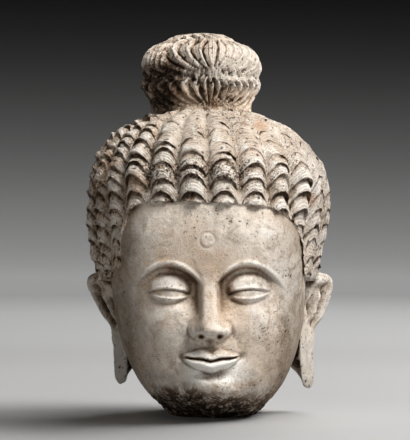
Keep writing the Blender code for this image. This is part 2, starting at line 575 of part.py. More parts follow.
def mesh_object(name, points, faces):
    mesh = bpy.data.meshes.new(name)
    mesh.from_pydata(points.tolist(), [], faces)
    mesh.shade_smooth()
    placed = bpy.data.objects.new(name, mesh)
    bpy.context.scene.collection.objects.link(placed)
    return placed


def as_guide(shape):
    """A cutter or a shell that only feeds a Boolean."""
    shape.hide_render = True
    shape.display_type = 'WIRE'


def prism(name, outline, way):
    """Cutter: a flat outline pushed along way."""
    count = len(outline)
    near = np.array(outline, float)
    points = np.concatenate([near, near + np.array(way, float)])
    faces = [tuple(range(count)), tuple(range(2 * count - 1, count - 1, -1))]
    faces += [(i, i + count, (i + 1) % count + count, (i + 1) % count) for i in range(count)]
    return mesh_object(name, leaned(points) * MM, faces)


def combine(target, other, operation):
    modifier = target.modifiers.new(other.name, 'BOOLEAN')
    modifier.operation = operation
    modifier.solver = 'EXACT'
    modifier.object = other
    as_guide(other)


def cut(target, cutter):
    combine(target, cutter, 'DIFFERENCE')


def unite(target, other):
    combine(target, other, 'UNION')


def stucco():
    material = bpy.data.materials.new("stucco")
    material.use_nodes = True
    shader = material.node_tree.nodes["Principled BSDF"]
    shader.inputs["Base Color"].default_value = (0.66, 0.60, 0.51, 1)
    shader.inputs["Roughness"].default_value = 0.85
    shader.inputs["Metallic"].default_value = 0.0
    return material


def main():
    for old in list(bpy.data.objects):
        bpy.data.objects.remove(old)
    head = skull()
    head.data.materials.append(stucco())
    for shell in (hair(), topknot(), ear("ear_left", 1), ear("ear_right", -1)):
        unite(head, shell)


main()
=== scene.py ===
"""Looks of the stucco Buddha head: the carved surface in full detail, its stucco, and the studio.

The carving follows the solid in the frame: the same shells, sampled far more closely, with
undercut locks, strands, wear, chips and pits added. Sizes in the sculpting functions are
millimetres and degrees in the frame's axes, and closed_object(), prism() and dressed() turn
them into metres. The face looks towards -Y, and +X is right as seen from the front.
"""

import bpy
import numpy as np
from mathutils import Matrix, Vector, noise
from mathutils.bvhtree import BVHTree
from mathutils.kdtree import KDTree
from numpy import arctan2, clip, cos, degrees, radians, sin, stack, where


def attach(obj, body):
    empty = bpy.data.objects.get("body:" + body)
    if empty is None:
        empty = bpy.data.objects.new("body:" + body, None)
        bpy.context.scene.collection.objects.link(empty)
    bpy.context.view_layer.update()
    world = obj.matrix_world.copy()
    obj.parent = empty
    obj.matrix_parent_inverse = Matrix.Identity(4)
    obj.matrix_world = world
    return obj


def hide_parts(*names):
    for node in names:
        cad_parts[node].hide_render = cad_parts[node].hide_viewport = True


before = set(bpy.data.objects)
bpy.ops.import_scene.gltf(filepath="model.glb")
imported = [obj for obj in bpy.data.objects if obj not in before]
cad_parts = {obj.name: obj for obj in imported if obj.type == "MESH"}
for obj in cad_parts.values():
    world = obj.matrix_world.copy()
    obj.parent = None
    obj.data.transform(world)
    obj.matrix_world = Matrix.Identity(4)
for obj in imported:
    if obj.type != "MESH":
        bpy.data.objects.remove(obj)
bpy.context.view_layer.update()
NODE = "buddha_head"

MM = 0.001

# The whole head
LEAN = 1.8                  # degrees that the head leans to -X on its flat break
LEAN_PIVOT = 130.0
MIDDLE_Y = -2.4

# Skull
ROUNDNESS = 2.4             # squareness of the level sections over the jaw
TEMPLE_ROUNDNESS = 3.0
HALF_WIDTH = ((0, 38), (5, 43), (12, 50), (20, 57.5), (30, 64.5), (45, 72), (60, 77.5), (75, 81.5),
              (90, 84), (120, 86), (150, 85.5), (180, 83), (195, 81), (215, 72), (235, 55))
FRONT = ((0, 42), (4, 56), (8, 68), (18, 82), (30, 90), (45, 93), (75, 93.5), (105, 94.5),
         (120, 95), (135, 97.5), (150, 99.5), (165, 101), (180, 101), (195, 99), (215, 84), (235, 60))
BACK = ((0, 55), (30, 58), (60, 63), (75, 68), (90, 75), (105, 82), (120, 88), (135, 92),
        (165, 94), (180, 92), (195, 88), (215, 78), (235, 55))
BREAK_TOP = 15.0

# Face, on the classical rule of three equal parts from hairline to chin
THIRD = 57.0
CHIN_Z = 16.0
MOUTH_Z = CHIN_Z + THIRD * 2 / 3
NOSE_Z = CHIN_Z + THIRD
BROW_Z = CHIN_Z + 2 * THIRD
EYE_X = 33.6
EYE_Z = 114.0
EYE_HALF = 18.0
SLIT_Z = 110.0
MOUTH_HALF = 24.5
NOSE_RIDGE = ((66, 0), (68, 0.8), (70.5, 3), (72.5, 8), (74.5, 15), (77, 19.5), (80, 21),
              (84, 20.5), (90, 18.5), (100, 14), (110, 9.5), (120, 5), (128, 2), (134, 0))
NOSE_HALF = ((66, 10), (73, 11), (77, 12.5), (82, 13), (88, 11.5), (95, 9.5), (105, 8),
             (115, 7), (125, 7.5), (134, 10))
URNA_Z = 155.0
URNA_RADIUS = 5.8

# Hair
HAIR_Z = 185.0
HAIR_X = 2.0
HAIR_SIDE = 102.9
HAIR_FRONT = 103.5
HAIR_BACK = 111.0
HAIR_RISE = 85.0
HAIR_DROP = 146.0
HAIR_TUCK = 0.8
HAIR_SQUARE = 0.87          # below 1, the cap is fuller in its shoulders than an ellipse
HAIRLINE_TUCK = 6.0
FRINGE_STAND = 1.8          # how far the hair stands off the forehead along the hairline
COLUMNS = 24
COLUMN_HEIGHT = 5.0
COLUMN_MEAN = 3.4
COLUMN_SEAM = 1.7           # thin strip of plaster standing in each furrow between columns
LOCK_HEIGHT = 5.6
LOCK_MEAN = 2.2
LOCK_TURN = 7.07            # degrees from one row of locks to the next, above the widest level
LOCK_TURN_LOW = 5.3         # and below it
WIDEST_LOCK = (90.0 - LOCK_TURN) / LOCK_TURN
LOCKS = 27
FRINGE_LOCK = 11            # the last whole lock above the forehead
ARCH = 0.95                 # how many rows an arch drops towards the furrows
ARCH_POWER = 2.4
LIP_OVERHANG = 0.13         # how many rows a lip hangs over the lock below it
# How much lower the locks lie on each side of the head, by degrees from the crown
LESS_LEFT = ((0, 2.5), (25, 2), (38, 4.4), (52, 2), (62, 3.4), (75, 2.8), (84, 3.4), (92, 0), (100, -0.8),
             (180, 0))
LESS_RIGHT = ((0, 0), (22, 0.5), (36, 2.4), (48, 2), (62, 1.4), (76, -0.6), (86, -1), (96, 0.8), (112, 0.6),
              (180, 0))
LOCK_WAVE = ((0, 0), (0.13, 0.12), (0.32, 0.42), (0.54, 0.72), (0.74, 0.94), (0.9, 1.03), (1, 0.93))
# Where the locks begin to be crisp, in degrees from the crown, by degrees round it from the front
CRISP_FROM = ((-180, 25), (-62, 22), (-45, 40), (-25, 56), (-7, 64), (9, 66), (21, 67), (40, 70),
              (60, 75), (85, 84), (110, 70), (140, 35), (180, 25))
HAIRLINE_Z = 186.5
HAIRLINE_TILT = -0.03
HAIRLINE_HALF = ((-20, 81), (110, 82), (135, 83), (151, 82.5), (161, 80), (168, 77), (174, 72),
                 (179, 66), (183, 57), (185.5, 45), (186.5, 20))
# How much narrower the face is on the left than HAIRLINE_HALF says
HAIRLINE_LEFT_IN = ((-20, 5), (110, 7), (165, 8), (178, 3), (184, 0), (190, 0))
NAPE_LINE = ((-160, 143), (-76, 135), (-60, 130), (-44, 124), (-28, 120), (-10, 118), (33, 118),
             (42, 103), (52, 88), (63, 77), (78, 70), (160, 66))

# Topknot
KNOT_Y = 4.0
KNOT_DEPTH = 0.96
KNOT_OUTLINE = ((40, 256), (43.4, 264), (44.6, 270), (45.4, 276), (48, 283), (51.2, 287.5), (53.2, 291.5),
                (53.3, 295), (51.1, 298.3), (52.5, 301.8), (53.4, 308), (52.2, 315), (50.2, 319.5),
                (46.6, 323.5), (41.5, 326.8), (33, 330), (30.5, 331.4), (28.2, 333.2), (21, 336.2),
                (11, 338))
KNOT_TOP = 338.4
KNOT_X = ((256, -1.6), (287, -1.8), (300, 0), (340, 0))
PINCH_Z = 298.3
DOME_Z = 331.0
RIB_HEIGHT = 5.0
# Degrees at which the ribs meet, round the tie on the upper lobe, with their numbers
UPPER_RIBS = tuple(zip((-180, -162, -144, -128, -114, -102, -93, -83, -70, -54, -32, -7, 18, 42, 62, 78,
                        90, 103, 118, 132, 146, 162, 180), range(-11, 12)))
# Height across one rib, as a share of RIB_HEIGHT
UPPER_RIB = ((0, -0.3), (0.06, 0.1), (0.14, 1), (0.25, 1), (0.45, 0.58), (0.72, 0.34), (0.9, 0), (1, -0.3))
# Degrees at which the lower lobe's ribs meet, to each side of its middle, with their numbers
LOWER_RIBS = tuple(zip((0, 27.5, 52.5, 71, 84.5, 96, 106, 115.5, 125, 134, 143, 152, 161, 170.5, 180),
                       range(15)))
LOWER_RIB = ((0, 0), (0.14, 0.12), (0.3, 0.6), (0.42, 1), (0.56, 0.96), (0.7, 0.5), (0.86, 0.1), (1, 0))
FINE_RIB_TURN = 7.5         # degrees round the topknot from one fine rib to the next, at its left
TIE = Vector((10, -45, 297.8))
CROWN = Vector((12, -4, 338))
LOWER_MIDDLE = 5.5

# Ears
EAR_BOTTOM = 21.5
EAR_TOP = 124.5
# How far each line of the ear stands out to the side (X) and back (Y), by height
EAR_RIM_X = ((21.5, 87.6), (22.5, 89.6), (25, 91), (30, 92), (40, 92.3), (55, 92.6), (65, 94),
             (75, 94.6), (79, 95.4), (84.5, 100), (90, 102.6), (95, 104.6), (105, 108), (113, 109.9),
             (119, 109), (124.5, 102))
EAR_RIM_Y = ((21.5, 13), (25, 16), (40, 18), (65, 22), (85, 30), (110, 35), (124.5, 32))
EAR_FRONT_X = ((21.5, 84.8), (22.5, 82.7), (25, 81), (30, 79.9), (45, 79.3), (60, 79), (75, 80),
               (95, 83), (124.5, 88))
EAR_FRONT_Y = ((21.5, 8), (25, 3), (30, 0), (45, -3), (75, -5), (105, -4), (124.5, 6))
EAR_ROOT_X = ((21.5, 84), (30, 80), (36, 75), (42, 69), (50, 65), (124.5, 70))
WEB_SET_BACK = ((21.5, 3), (30, 7), (60, 9), (78, 4), (90, 2), (124.5, 2))
LEFT_EAR_IN = ((20, 5), (70, 5.3), (84, 6.6), (100, 4.8), (112, 2.6), (125, 2))
LEFT_LOBE_RISE = 4.0        # the left lobe is a little shorter

# Fineness
FACE_COLUMNS = 252
FACE_ROW = 0.8
FRONT_STEPS = 14            # mesh columns to a column of locks on the front half
BACK_STEPS = 6
LOCK_PHASES = (0.0, 0.13, 0.32, 0.54, 0.74, 0.9, 1.0)
KNOT_COLUMNS = 384
KNOT_ROWS = 80
EAR_FACE_STEPS = 30
EAR_ROW = 1.5

# The shells that make up the head, in the order they are joined
SKULL, HAIR, TOPKNOT, EARS = range(4)

# Age
HAIR_SEED = 5
PIT_SEED = 11
GOUGE_FROM = 0.12           # unevenness above which a gouge is cut
PIT_TRIES = 2600
PIT_RADIUS = 0.7
PIT_SPREAD = 1.3            # how much larger the largest pits are
BASE_Z = 0.05               # points under this are on the flat break, and stay there
FLOOR_GAP = 0.02            # all others stay at least this high
SKY_RAYS = 14
SKY_REACH = 70.0
GOLDEN_TURN = 2.399963      # radians between rays, so that they spread evenly


# ---------------------------------------------------------------- shaping helpers

def smoothstep(low, high, value):
    """0 at low, 1 at high, and an even ramp between them."""
    share = clip((value - low) / (high - low), 0.0, 1.0)
    return share * share * (3.0 - 2.0 * share)


def mound(across, up):
    """Round bump: 1 where both are 0, and 0 from a distance of 1 on."""
    inside = clip(1.0 - across ** 2 - up ** 2, 0.0, 1.0)
    return inside * inside


def ridge(offset, width):
    """Soft line along offset 0."""
    return np.exp(-(offset / width) ** 2)


def soft_max(first, second, blend=1.5):
    """The larger of two heights, with a small fillet where they meet."""
    return 0.5 * (first + second + np.sqrt((first - second) ** 2 + blend ** 2) - blend)


def through(knots, place):
    """Smooth curve through (place, value) knots that never overshoots between them."""
    at, value = np.array(knots, float).T
    step = np.diff(at)
    slope = np.diff(value) / step
    pair = slope[:-1] * slope[1:]
    total = slope[:-1] + slope[1:]
    inner = where(pair > 0, 2 * pair / where(pair > 0, total, 1.0), 0.0)
    tangent = np.concatenate([slope[:1], inner, slope[-1:]])
    place = clip(place, at[0], at[-1])
    span = clip(np.searchsorted(at, place, side="right") - 1, 0, len(step) - 1)
    share = (place - at[span]) / step[span]
    back = 1.0 - share
    start = (1 + 2 * share) * back ** 2 * value[span] + share * back ** 2 * step[span] * tangent[span]
    end = (1 + 2 * back) * share ** 2 * value[span + 1]
    return start + end - back * share ** 2 * step[span] * tangent[span + 1]


def uneven(points, size, octaves=3):
    """Gentle unevenness between about -1 and 1, with lumps of the given size."""
    flat = points.reshape(-1, 3) / size
    lumps = [noise.fractal(point, 1.0, 2.0, octaves) for point in flat.tolist()]
    return np.array(lumps).reshape(points.shape[:-1])


# ---------------------------------------------------------------- skull and face

def sockets(x, z):
    """Eye sockets: a crisp step under each brow that fades out down the cheek."""
    side = abs(x)
    below_brow = BROW_Z + 4.5 - (side - EYE_X) ** 2 / 46.6 - z
    depth = through(((5, 8), (14, 7.5), (34, 6), (50, 4), (60, 2), (66, 0)), side)
    reach = smoothstep(-0.6, 3.0, below_brow) * (1 - smoothstep(16, 42, below_brow))
    brow = 1.3 * ridge(below_brow + 1.6, 2.2) * smoothstep(4, 12, side) * (1 - smoothstep(52, 66, side))
    return brow - depth * reach * smoothstep(5, 11, side)


def eyes(x, z):
    """Full eyeballs half covered by heavy lowered lids with rolled edges."""
    side = abs(x)
    across = (side - EYE_X) / EYE_HALF
    ball = clip(1 - across ** 2 - ((z - EYE_Z) / 13.0) ** 2, 0, 1)
    span = clip(1 - (across / 0.97) ** 2, 0, 1)
    inside = smoothstep(0.0, 0.22, span)
    corners = SLIT_Z + 0.8 * across
    upper_lid = corners + 3.6 * span ** 0.85
    lower_lid = corners - 3.4 * span ** 0.85
    slit = smoothstep(-0.4, 0.5, upper_lid - z) * smoothstep(-0.5, 0.4, z - lower_lid)
    rolled = 0.8 * ridge(z - upper_lid - 1.3, 1.3) + 1.0 * ridge(z - lower_lid + 1.4, 1.2)
    lash = 1.1 * ridge(z - upper_lid + 0.6, 0.75)
    bag = 0.5 * ridge(z - lower_lid + 4.8, 2.2)
    return 7.0 * ball ** 0.72 + (rolled - 1.3 * slit - lash - bag) * inside


def nose(x, z):
    """Straight nose that runs up into the brows, with its wings and nostrils."""
    side = abs(x)
    bridge = through(NOSE_RIDGE, z) / (1 + (x / through(NOSE_HALF, z)) ** 4)
    tip = 2.0 * mound(x / 9.0, (z - NOSE_Z - 8) / 9.0)
    wing = clip(1 - ((side - 12.0) / 6.8) ** 2 - ((z - NOSE_Z - 6.3) / 7.6) ** 2, 0, 1)
    crease = 0.9 * ridge(np.hypot((side - 12.0) / 6.8, (z - NOSE_Z - 6.3) / 7.6) - 1.1, 0.18)
    crease = crease * smoothstep(11, 15, side) * smoothstep(NOSE_Z - 2, NOSE_Z + 3, z)
    nostrils = 9.0 * mound((side - 7.2) / 4.6, (z - NOSE_Z - 1.6) / 3.8)
    return soft_max(bridge + tip, 11.5 * wing ** 0.7, 1.2) - crease - nostrils


def mouth(x, z):
    """Closed full lips with a bow, and corners that turn up a little."""
    across = x / MOUTH_HALF
    side = abs(x)
    line = MOUTH_Z + 2.6 * across ** 2 - 1.1 * ridge(x, 4.5) + 0.5 * ridge(side - 9, 4.0)
    thick = clip(1 - across ** 2, 0, 1) ** 0.7
    bow = 1 - 0.2 * ridge(x, 3.0) + 0.08 * ridge(side - 6, 3.0)
    above = (z - line) / (0.01 + 8.6 * thick * bow)
    below = (line - z) / (0.01 + 11.5 * thick)
    inside = smoothstep(0.02, 0.35, thick)
    upper = through(((0, 2.6), (0.12, 4.6), (0.3, 5.6), (0.75, 4.2), (0.9, 4.0), (1.06, 0)), above)
    lower = through(((0, 2.6), (0.12, 5.2), (0.35, 7.0), (0.6, 6.2), (0.8, 3.6), (0.95, 0)), below)
    lips = where(z > line, upper, lower) * inside
    muzzle = 4.5 * mound(x / 38.0, (z - MOUTH_Z - 2) / 28.0)
    parting = 2.2 * ridge(z - line, 0.85) * smoothstep(0, 0.2, thick)
    dimples = 2.2 * mound((side - MOUTH_HALF - 1.2) / 6.0, (z - MOUTH_Z - 2.4) / 5.6)
    groove = 1.2 * ridge(x, 3.0) * smoothstep(61, 64, z) * (1 - smoothstep(69, 73, z))
    fold = 0.8 * ridge(side - 21 - (72 - z) * 0.45, 3.0)
    fold = fold * smoothstep(56, 64, z) * (1 - smoothstep(74, 84, z))
    return muzzle + lips - parting - dimples - groove - fold


def face(x, z):
    """How far the carved face stands in front of the plain skull."""
    side = abs(x)
    cheeks = 3.6 * mound((side - 43) / 32.0, (z - 84) / 32.0)
    chin = 8.5 * mound(x / 27.0, (z - CHIN_Z - 13.5) / 18.0)
    under_lip = 3.4 * mound(x / 20.0, (z - CHIN_Z - 24.5) / 6.5)
    from_urna = np.hypot(x, z - URNA_Z) - URNA_RADIUS
    urna = 0.6 * smoothstep(0.8, -0.8, from_urna) - 0.8 * ridge(from_urna - 0.5, 0.7)
    parts = sockets(x, z) + eyes(x, z) + nose(x, z) + mouth(x, z)
    return parts + cheeks + chin - under_lip + urna


def plain_skull(turn, height):
    """How far the skull reaches from its axis, without the face."""
    side = through(HALF_WIDTH, height)
    deep = where(cos(turn) > 0, through(FRONT, height), through(BACK, height))
    squarer = smoothstep(95, 140, height) - 0.75 * smoothstep(158, 188, height)
    power = ROUNDNESS + (TEMPLE_ROUNDNESS - ROUNDNESS) * squarer
    squareness = abs(sin(turn) / side) ** power + abs(cos(turn) / deep) ** power
    return squareness ** (-1.0 / power)


def skull_points(turn, height):
    """Rings of the skull, with the face on its front and the rough break below."""
    turn, height = np.meshgrid(turn, height)
    radius = plain_skull(turn, height)
    points = stack([radius * sin(turn), -radius * cos(turn), height], axis=-1)
    broken = 1 - smoothstep(BREAK_TOP - 3, BREAK_TOP + 3, height)
    rough = 1 + 0.045 * broken * uneven(points, 14.0)
    points[..., :2] *= rough[..., None]
    points[..., 1] -= face(points[..., 0], height) * smoothstep(0.3, 0.55, cos(turn)) * (1 - broken)
    return points


def skull():
    """Skull with the face; its columns stand closer together on the face."""
    even = np.linspace(-np.pi, np.pi, FACE_COLUMNS, endpoint=False)
    turn = even - 0.62 * sin(even)
    height = np.concatenate([np.arange(-8.0, 36.0, 1.3), np.arange(36.0, 142.0, FACE_ROW),
                             np.arange(142.0, 190.0, 1.2), np.arange(190.0, 235.0, 6.0)])
    points = skull_points(turn, height)
    head = closed_object("skull", points, (0, 0, -9), (0, 0, 240))
    ground = [(x, y, 0.0) for x, y in ((-99, -99), (99, -99), (99, 99), (-99, 99))]
    combine(head, prism("ground", ground, (0, 0, -30)), 'DIFFERENCE')
    return head


# ---------------------------------------------------------------- hair

def lock_polar(lock):
    """Degrees from the crown at which a place counted in locks lies."""
    above = LOCK_TURN * (1 + np.minimum(lock, WIDEST_LOCK))
    return above + LOCK_TURN_LOW * np.maximum(lock - WIDEST_LOCK, 0.0)


def off_middle(turn):
    """How far across its column of locks a place is: 0 in the middle and 1 in a furrow."""
    column = turn * COLUMNS / 360.0
    return abs(2 * (column - np.floor(column)) - 1)


def crispness(turn, polar):
    """1 where the locks are still crisp, and 0 where they are rubbed away above the forehead."""
    edge = through(CRISP_FROM, turn)
    return smoothstep(edge - 9, edge + 5, polar)


def hair_turns():
    """Angles of the mesh columns, closer together on the front half."""
    width = 360.0 / COLUMNS
    starts = np.arange(COLUMNS) * width - 180.0
    turns = []
    for start in starts:
        steps = FRONT_STEPS if -90 <= start < 90 else BACK_STEPS
        share = np.arange(steps) / steps
        bunched = 0.08 if -60 <= start < 60 else 0.0
        turns.extend(start + width * (share - bunched * sin(2 * np.pi * share)))
    return np.array(turns)


def hair_points():
    """Rings that follow the arched lips, pushed out by columns and waves of hair."""
    turn = hair_turns()
    column = np.floor(turn * COLUMNS / 360.0 + 1e-6)
    across = 2 * (turn * COLUMNS / 360.0 - column) - 1
    phases = np.array(LOCK_PHASES)
    phase = np.tile(phases, LOCKS + 1)[:, None]
    number = np.repeat(np.arange(-1, LOCKS), len(phases))[:, None]
    lock = number + phase
    arch = ARCH * sin(radians(np.minimum(lock_polar(lock), 150)))
    evenness = (smoothstep(FRINGE_LOCK - 1.5, FRINGE_LOCK, lock)
                * smoothstep(FRINGE_LOCK + 4, FRINGE_LOCK + 2, lock))
    chance = np.random.default_rng(HAIR_SEED)
    depths = chance.random((LOCKS + 1, COLUMNS))
    tilts = chance.random((LOCKS + 1, COLUMNS)) - 0.5
    which = column.astype(int) % COLUMNS
    shift = 0.25 * sin(2.4 * column + 1.9 * lock) * (1 - across ** 2)
    shift = (shift + 0.7 * tilts[number + 1, which] * across * (1 - across ** 2)) * (1 - evenness)
    placed = lock + arch * abs(across) ** ARCH_POWER + shift
    crisp = crispness(turn, lock_polar(placed))
    placed = placed - LIP_OVERHANG * (phase == 0) * (0.1 + 0.9 * crisp) * (1 - across ** 2)
    polar = clip(lock_polar(placed), 1.0, 178.0)
    turn = np.broadcast_to(turn, polar.shape)
    inwards = where(turn < 0, 10, 0)
    middle = 1 - smoothstep(44 - inwards, 64 - inwards, abs(turn))

    strength = 0.45 + 0.55 * depths[number + 1, which]
    strength = where(number == FRINGE_LOCK, strength + middle * (1.05 - strength), strength)
    strength = where(number == FRINGE_LOCK + 1, strength * (1 - 0.6 * middle), strength)
    jagged = mound((turn + 85) / 50.0, (polar - 58) / 42.0)
    strength = strength * (1 + 0.25 * jagged)

    wave = through(LOCK_WAVE, phase)
    close = smoothstep(-38, -54, turn) * smoothstep(40, 54, polar)
    wave = wave + close * (0.42 * wave + 0.5 * through(LOCK_WAVE, 2 * phase % 1) - wave)
    wave = wave * (1 - abs(across) ** 4)
    lips = LOCK_HEIGHT * strength * wave - LOCK_MEAN
    side = smoothstep(56, 68, turn) * smoothstep(134, 112, turn) * smoothstep(46, 64, polar)
    least = 0.3 - 0.22 * smoothstep(-38, -12, turn)
    lips = lips * (least + (1 - least) * crisp) * (1 - 0.75 * side)
    rounded = COLUMN_HEIGHT * clip(1 - (across / 0.93) ** 2, 0, 1) ** 0.6 - COLUMN_MEAN
    rounded = rounded + COLUMN_SEAM * smoothstep(0.9, 1.0, abs(across))
    rubbed = (1 - crisp) * smoothstep(6, 24, turn) * smoothstep(150, 110, turn)
    rounded = rounded * (1 - 0.85 * rubbed) * (1 - 0.2 * (1 - crisp)) * (1 - 0.4 * side)
    strands = 0.7 * side * sin(radians(turn * 90 + 80 * sin(radians(polar * 26))))
    points, outward = hair_form(radians(turn), radians(polar))
    fullness = np.minimum(1, sin(radians(polar)) * 1.5)
    tuck = HAIRLINE_TUCK * middle * smoothstep(70, 88, polar)
    height = fullness * (COLUMN_MEAN + LOCK_MEAN + rounded + lips + strands) - tuck
    height = height + 0.9 * uneven(points, 26.0)
    height = height - through(LESS_LEFT, polar) * smoothstep(-35, -60, turn)
    height = height - through(LESS_RIGHT, polar) * smoothstep(45, 62, turn)
    height = height - 4.0 * smoothstep(94, 106, polar) * mound((turn - 95) / 50.0, 0.0)
    return off_forehead(points + outward * height[..., None])


def off_forehead(points):
    """Keeps the hair a little proud of the forehead all along the hairline."""
    x, y, z = np.moveaxis(points, -1, 0)
    turn = arctan2(x, -y)
    reach = np.hypot(x, y)
    near = smoothstep(207, 197, z)
    least = plain_skull(turn, np.maximum(z, 110.0)) + FRINGE_STAND
    grown = 1 + near * (np.maximum(least / reach, 1) - 1)
    return stack([x * grown, y * grown, z], axis=-1)


def hair_form(turn, polar):
    """Plain cap under the locks, and the way out of it at each place."""
    low = polar > np.pi / 2
    ring = sin(polar) ** where(low, HAIR_TUCK, HAIR_SQUARE)
    level = where(low, cos(polar), abs(cos(polar)) ** HAIR_SQUARE)
    rise = where(low, HAIR_DROP, HAIR_RISE)
    deep = where(cos(turn) > 0, HAIR_FRONT, HAIR_BACK)
    off_temple = abs(degrees(turn)) - 60
    temple = 0.07 * mound(off_temple / 34.0, 0.0) * smoothstep(75, 100, degrees(polar))
    ring = ring * (1 - temple)
    points = stack([HAIR_SIDE * ring * sin(turn), -deep * ring * cos(turn), rise * level], axis=-1)
    outward = points / stack([np.full_like(ring, HAIR_SIDE), deep, rise], axis=-1) ** 2
    outward /= np.linalg.norm(outward, axis=-1, keepdims=True)
    return points + np.array([HAIR_X, 0, HAIR_Z]), outward


def hair():
    """Cap of hair, cut open round the face and along the nape."""
    crown = (HAIR_X, 0, HAIR_Z + HAIR_RISE + 1)
    cap = closed_object("hair", hair_points()[::-1], (HAIR_X, 0, HAIR_Z - HAIR_DROP), crown)
    height = np.concatenate([np.arange(HAIRLINE_HALF[0][0], 160, 4), np.linspace(160, HAIRLINE_Z, 36)])
    half = through(HAIRLINE_HALF, height)
    right = [(x, z) for x, z in zip(half, height)]
    left = [(-x, z) for x, z in zip(half - through(HAIRLINE_LEFT_IN, height), height)][::-1]
    edge = [(x, -200.0, z + HAIRLINE_TILT * x * (z > 150)) for x, z in right + left]
    opening = prism("face_opening", edge, (0, 205, 0))
    combine(cap, opening, 'DIFFERENCE')
    low = list(NAPE_LINE) + [(160, -60), (-160, -60)]
    nape = prism("nape_opening", [(-160.0, y, z) for y, z in low], (320, 0, 0))
    combine(cap, nape, 'DIFFERENCE')
    return cap


# ---------------------------------------------------------------- topknot

def knot_points(columns, rows):
    """Two lobes and a flat cap, with ribs of hair drawn together at the tie in front."""
    radius, height = np.array(KNOT_OUTLINE, float).T
    run = np.concatenate([[0], np.cumsum(np.hypot(np.diff(radius), np.diff(height)))])
    place = np.linspace(0, run[-1], rows)
    r = through(np.column_stack([run, radius]), place)
    z = through(np.column_stack([run, height]), place)
    slope = stack([np.gradient(z, place), -np.gradient(r, place)])
    slope /= np.linalg.norm(slope, axis=0)
    turn = np.arange(columns) * 2 * np.pi / columns - np.pi
    turn = turn - 0.4 * sin(turn)
    way = stack([sin(turn), -KNOT_DEPTH * cos(turn)], axis=-1)
    points = np.empty((rows, columns, 3))
    points[..., :2] = r[:, None, None] * way + np.array([0, KNOT_Y])
    points[..., 0] += through(KNOT_X, z)[:, None]
    points[..., 2] = z[:, None]
    outward = np.empty_like(points)
    outward[..., :2] = slope[0][:, None, None] * way
    outward[..., 2] = slope[1][:, None]
    return points + outward * ribs(points, turn)[..., None]


def rib_places(points):
    """Where each point lies, counted in ribs, on the upper and on the lower lobe."""
    along = np.array((CROWN - TIE).normalized())
    from_tie = points - np.array(TIE)
    off = from_tie - (from_tie @ along)[..., None] * along
    down = np.cross([1.0, 0, 0], along)
    around = degrees(arctan2(off[..., 0], off @ down))
    near_tie = smoothstep(2, 9, np.linalg.norm(off, axis=-1))
    level = clip((points[..., 2] - 268) / (PINCH_Z - 268), 0, 1)
    axis = -30 - 13 * (2 * level - 1) ** 2
    gathered = degrees(arctan2(points[..., 0] - LOWER_MIDDLE, axis - points[..., 1]))
    return abs(through(UPPER_RIBS, around)), through(LOWER_RIBS, abs(gathered)), near_tie


def ribs(points, turn):
    """Height of the topknot's ribs: broad bands with a raised lip beside each sharp groove."""
    x, z = points[..., 0], points[..., 2]
    number, lower, near_tie = rib_places(points)
    upper = through(UPPER_RIB, number - np.floor(number))
    upper = where(number < 0.28, np.maximum(upper, 0.86), upper)
    lower = through(LOWER_RIB, lower - np.floor(lower))
    top = 20 + 7.0 * turn[None, :] / np.pi + 0.16 * (z - DOME_Z)
    petals = 0.4 + 0.6 * through(UPPER_RIB, top - np.floor(top))
    is_upper = smoothstep(PINCH_Z - 1, PINCH_Z + 1, z)
    is_dome = smoothstep(DOME_Z - 0.5, DOME_Z + 1, z)
    carved = lower + (0.75 + (upper - 0.75) * near_tie - lower) * is_upper
    carved = carved + (petals - carved) * is_dome
    turned = degrees(turn)[None, :]
    is_fine = smoothstep(-37, -43, turned) * smoothstep(-98, -90, turned)
    is_fine = is_fine * smoothstep(303, 308, z) * smoothstep(330, 326, z)
    thread = 0.5 - 0.5 * cos(2 * np.pi * turned / FINE_RIB_TURN)
    carved = carved + (0.1 + 1.0 * thread - carved) * is_fine
    worn = 1 - 0.68 * smoothstep(8, 22, x) * smoothstep(PINCH_Z, PINCH_Z + 6, z)
    worn = worn * (1 - (0.3 + 0.4 * smoothstep(-20, 0, x)) * ridge(z - PINCH_Z, 3.5))
    worn = worn * (1 - 0.25 * is_fine)
    sunk = smoothstep(264, 277, z) * smoothstep(KNOT_TOP, KNOT_TOP - 4, z)
    return RIB_HEIGHT * (carved - 0.75) * worn * sunk


def topknot():
    """Topknot standing on the crown."""
    points = knot_points(KNOT_COLUMNS, KNOT_ROWS)
    return closed_object("topknot", points, (KNOT_X[0][1], KNOT_Y, 255), (0, KNOT_Y, KNOT_TOP))


# ---------------------------------------------------------------- ears

def ear_carving(share, z):
    """Height of the ear's front surface; share runs from its front edge to its rim."""
    rim = 4.6 * smoothstep(0.74, 0.86, share) * smoothstep(72, 82, z)
    brim = 4.6 * smoothstep(111, 117, z) * smoothstep(0.15, 0.4, share)
    inner_ridge = 3.2 * ridge(share - 0.56, 0.08) * smoothstep(80, 88, z) * (1 - smoothstep(104, 110, z))
    fork = 1.6 * ridge(share - 0.56 - (z - 98) * 0.016, 0.07) * smoothstep(98, 102, z) * (z < 112)
    bowl = 6.0 * mound((share - 0.36) / 0.2, (z - 93) / 15.0)
    bowl = bowl + 6.0 * mound((share - 0.37) / 0.13, (z - 90) / 8.0)
    bowl = bowl + 6.0 * mound((share - 0.12) / 0.1, (z - 98) / 7.0)
    channel = 6.0 * mound((share - 0.7) / 0.13, (z - 94) / 24.0)
    flap = 2.5 * mound((share - 0.14) / 0.14, (z - 86) / 8.0)
    fold = 2.0 * ridge(share - 0.5, 0.13) * smoothstep(80, 66, z) * smoothstep(26, 38, z)
    return np.maximum(rim, brim) + inner_ridge + fork + flap - bowl - channel - fold


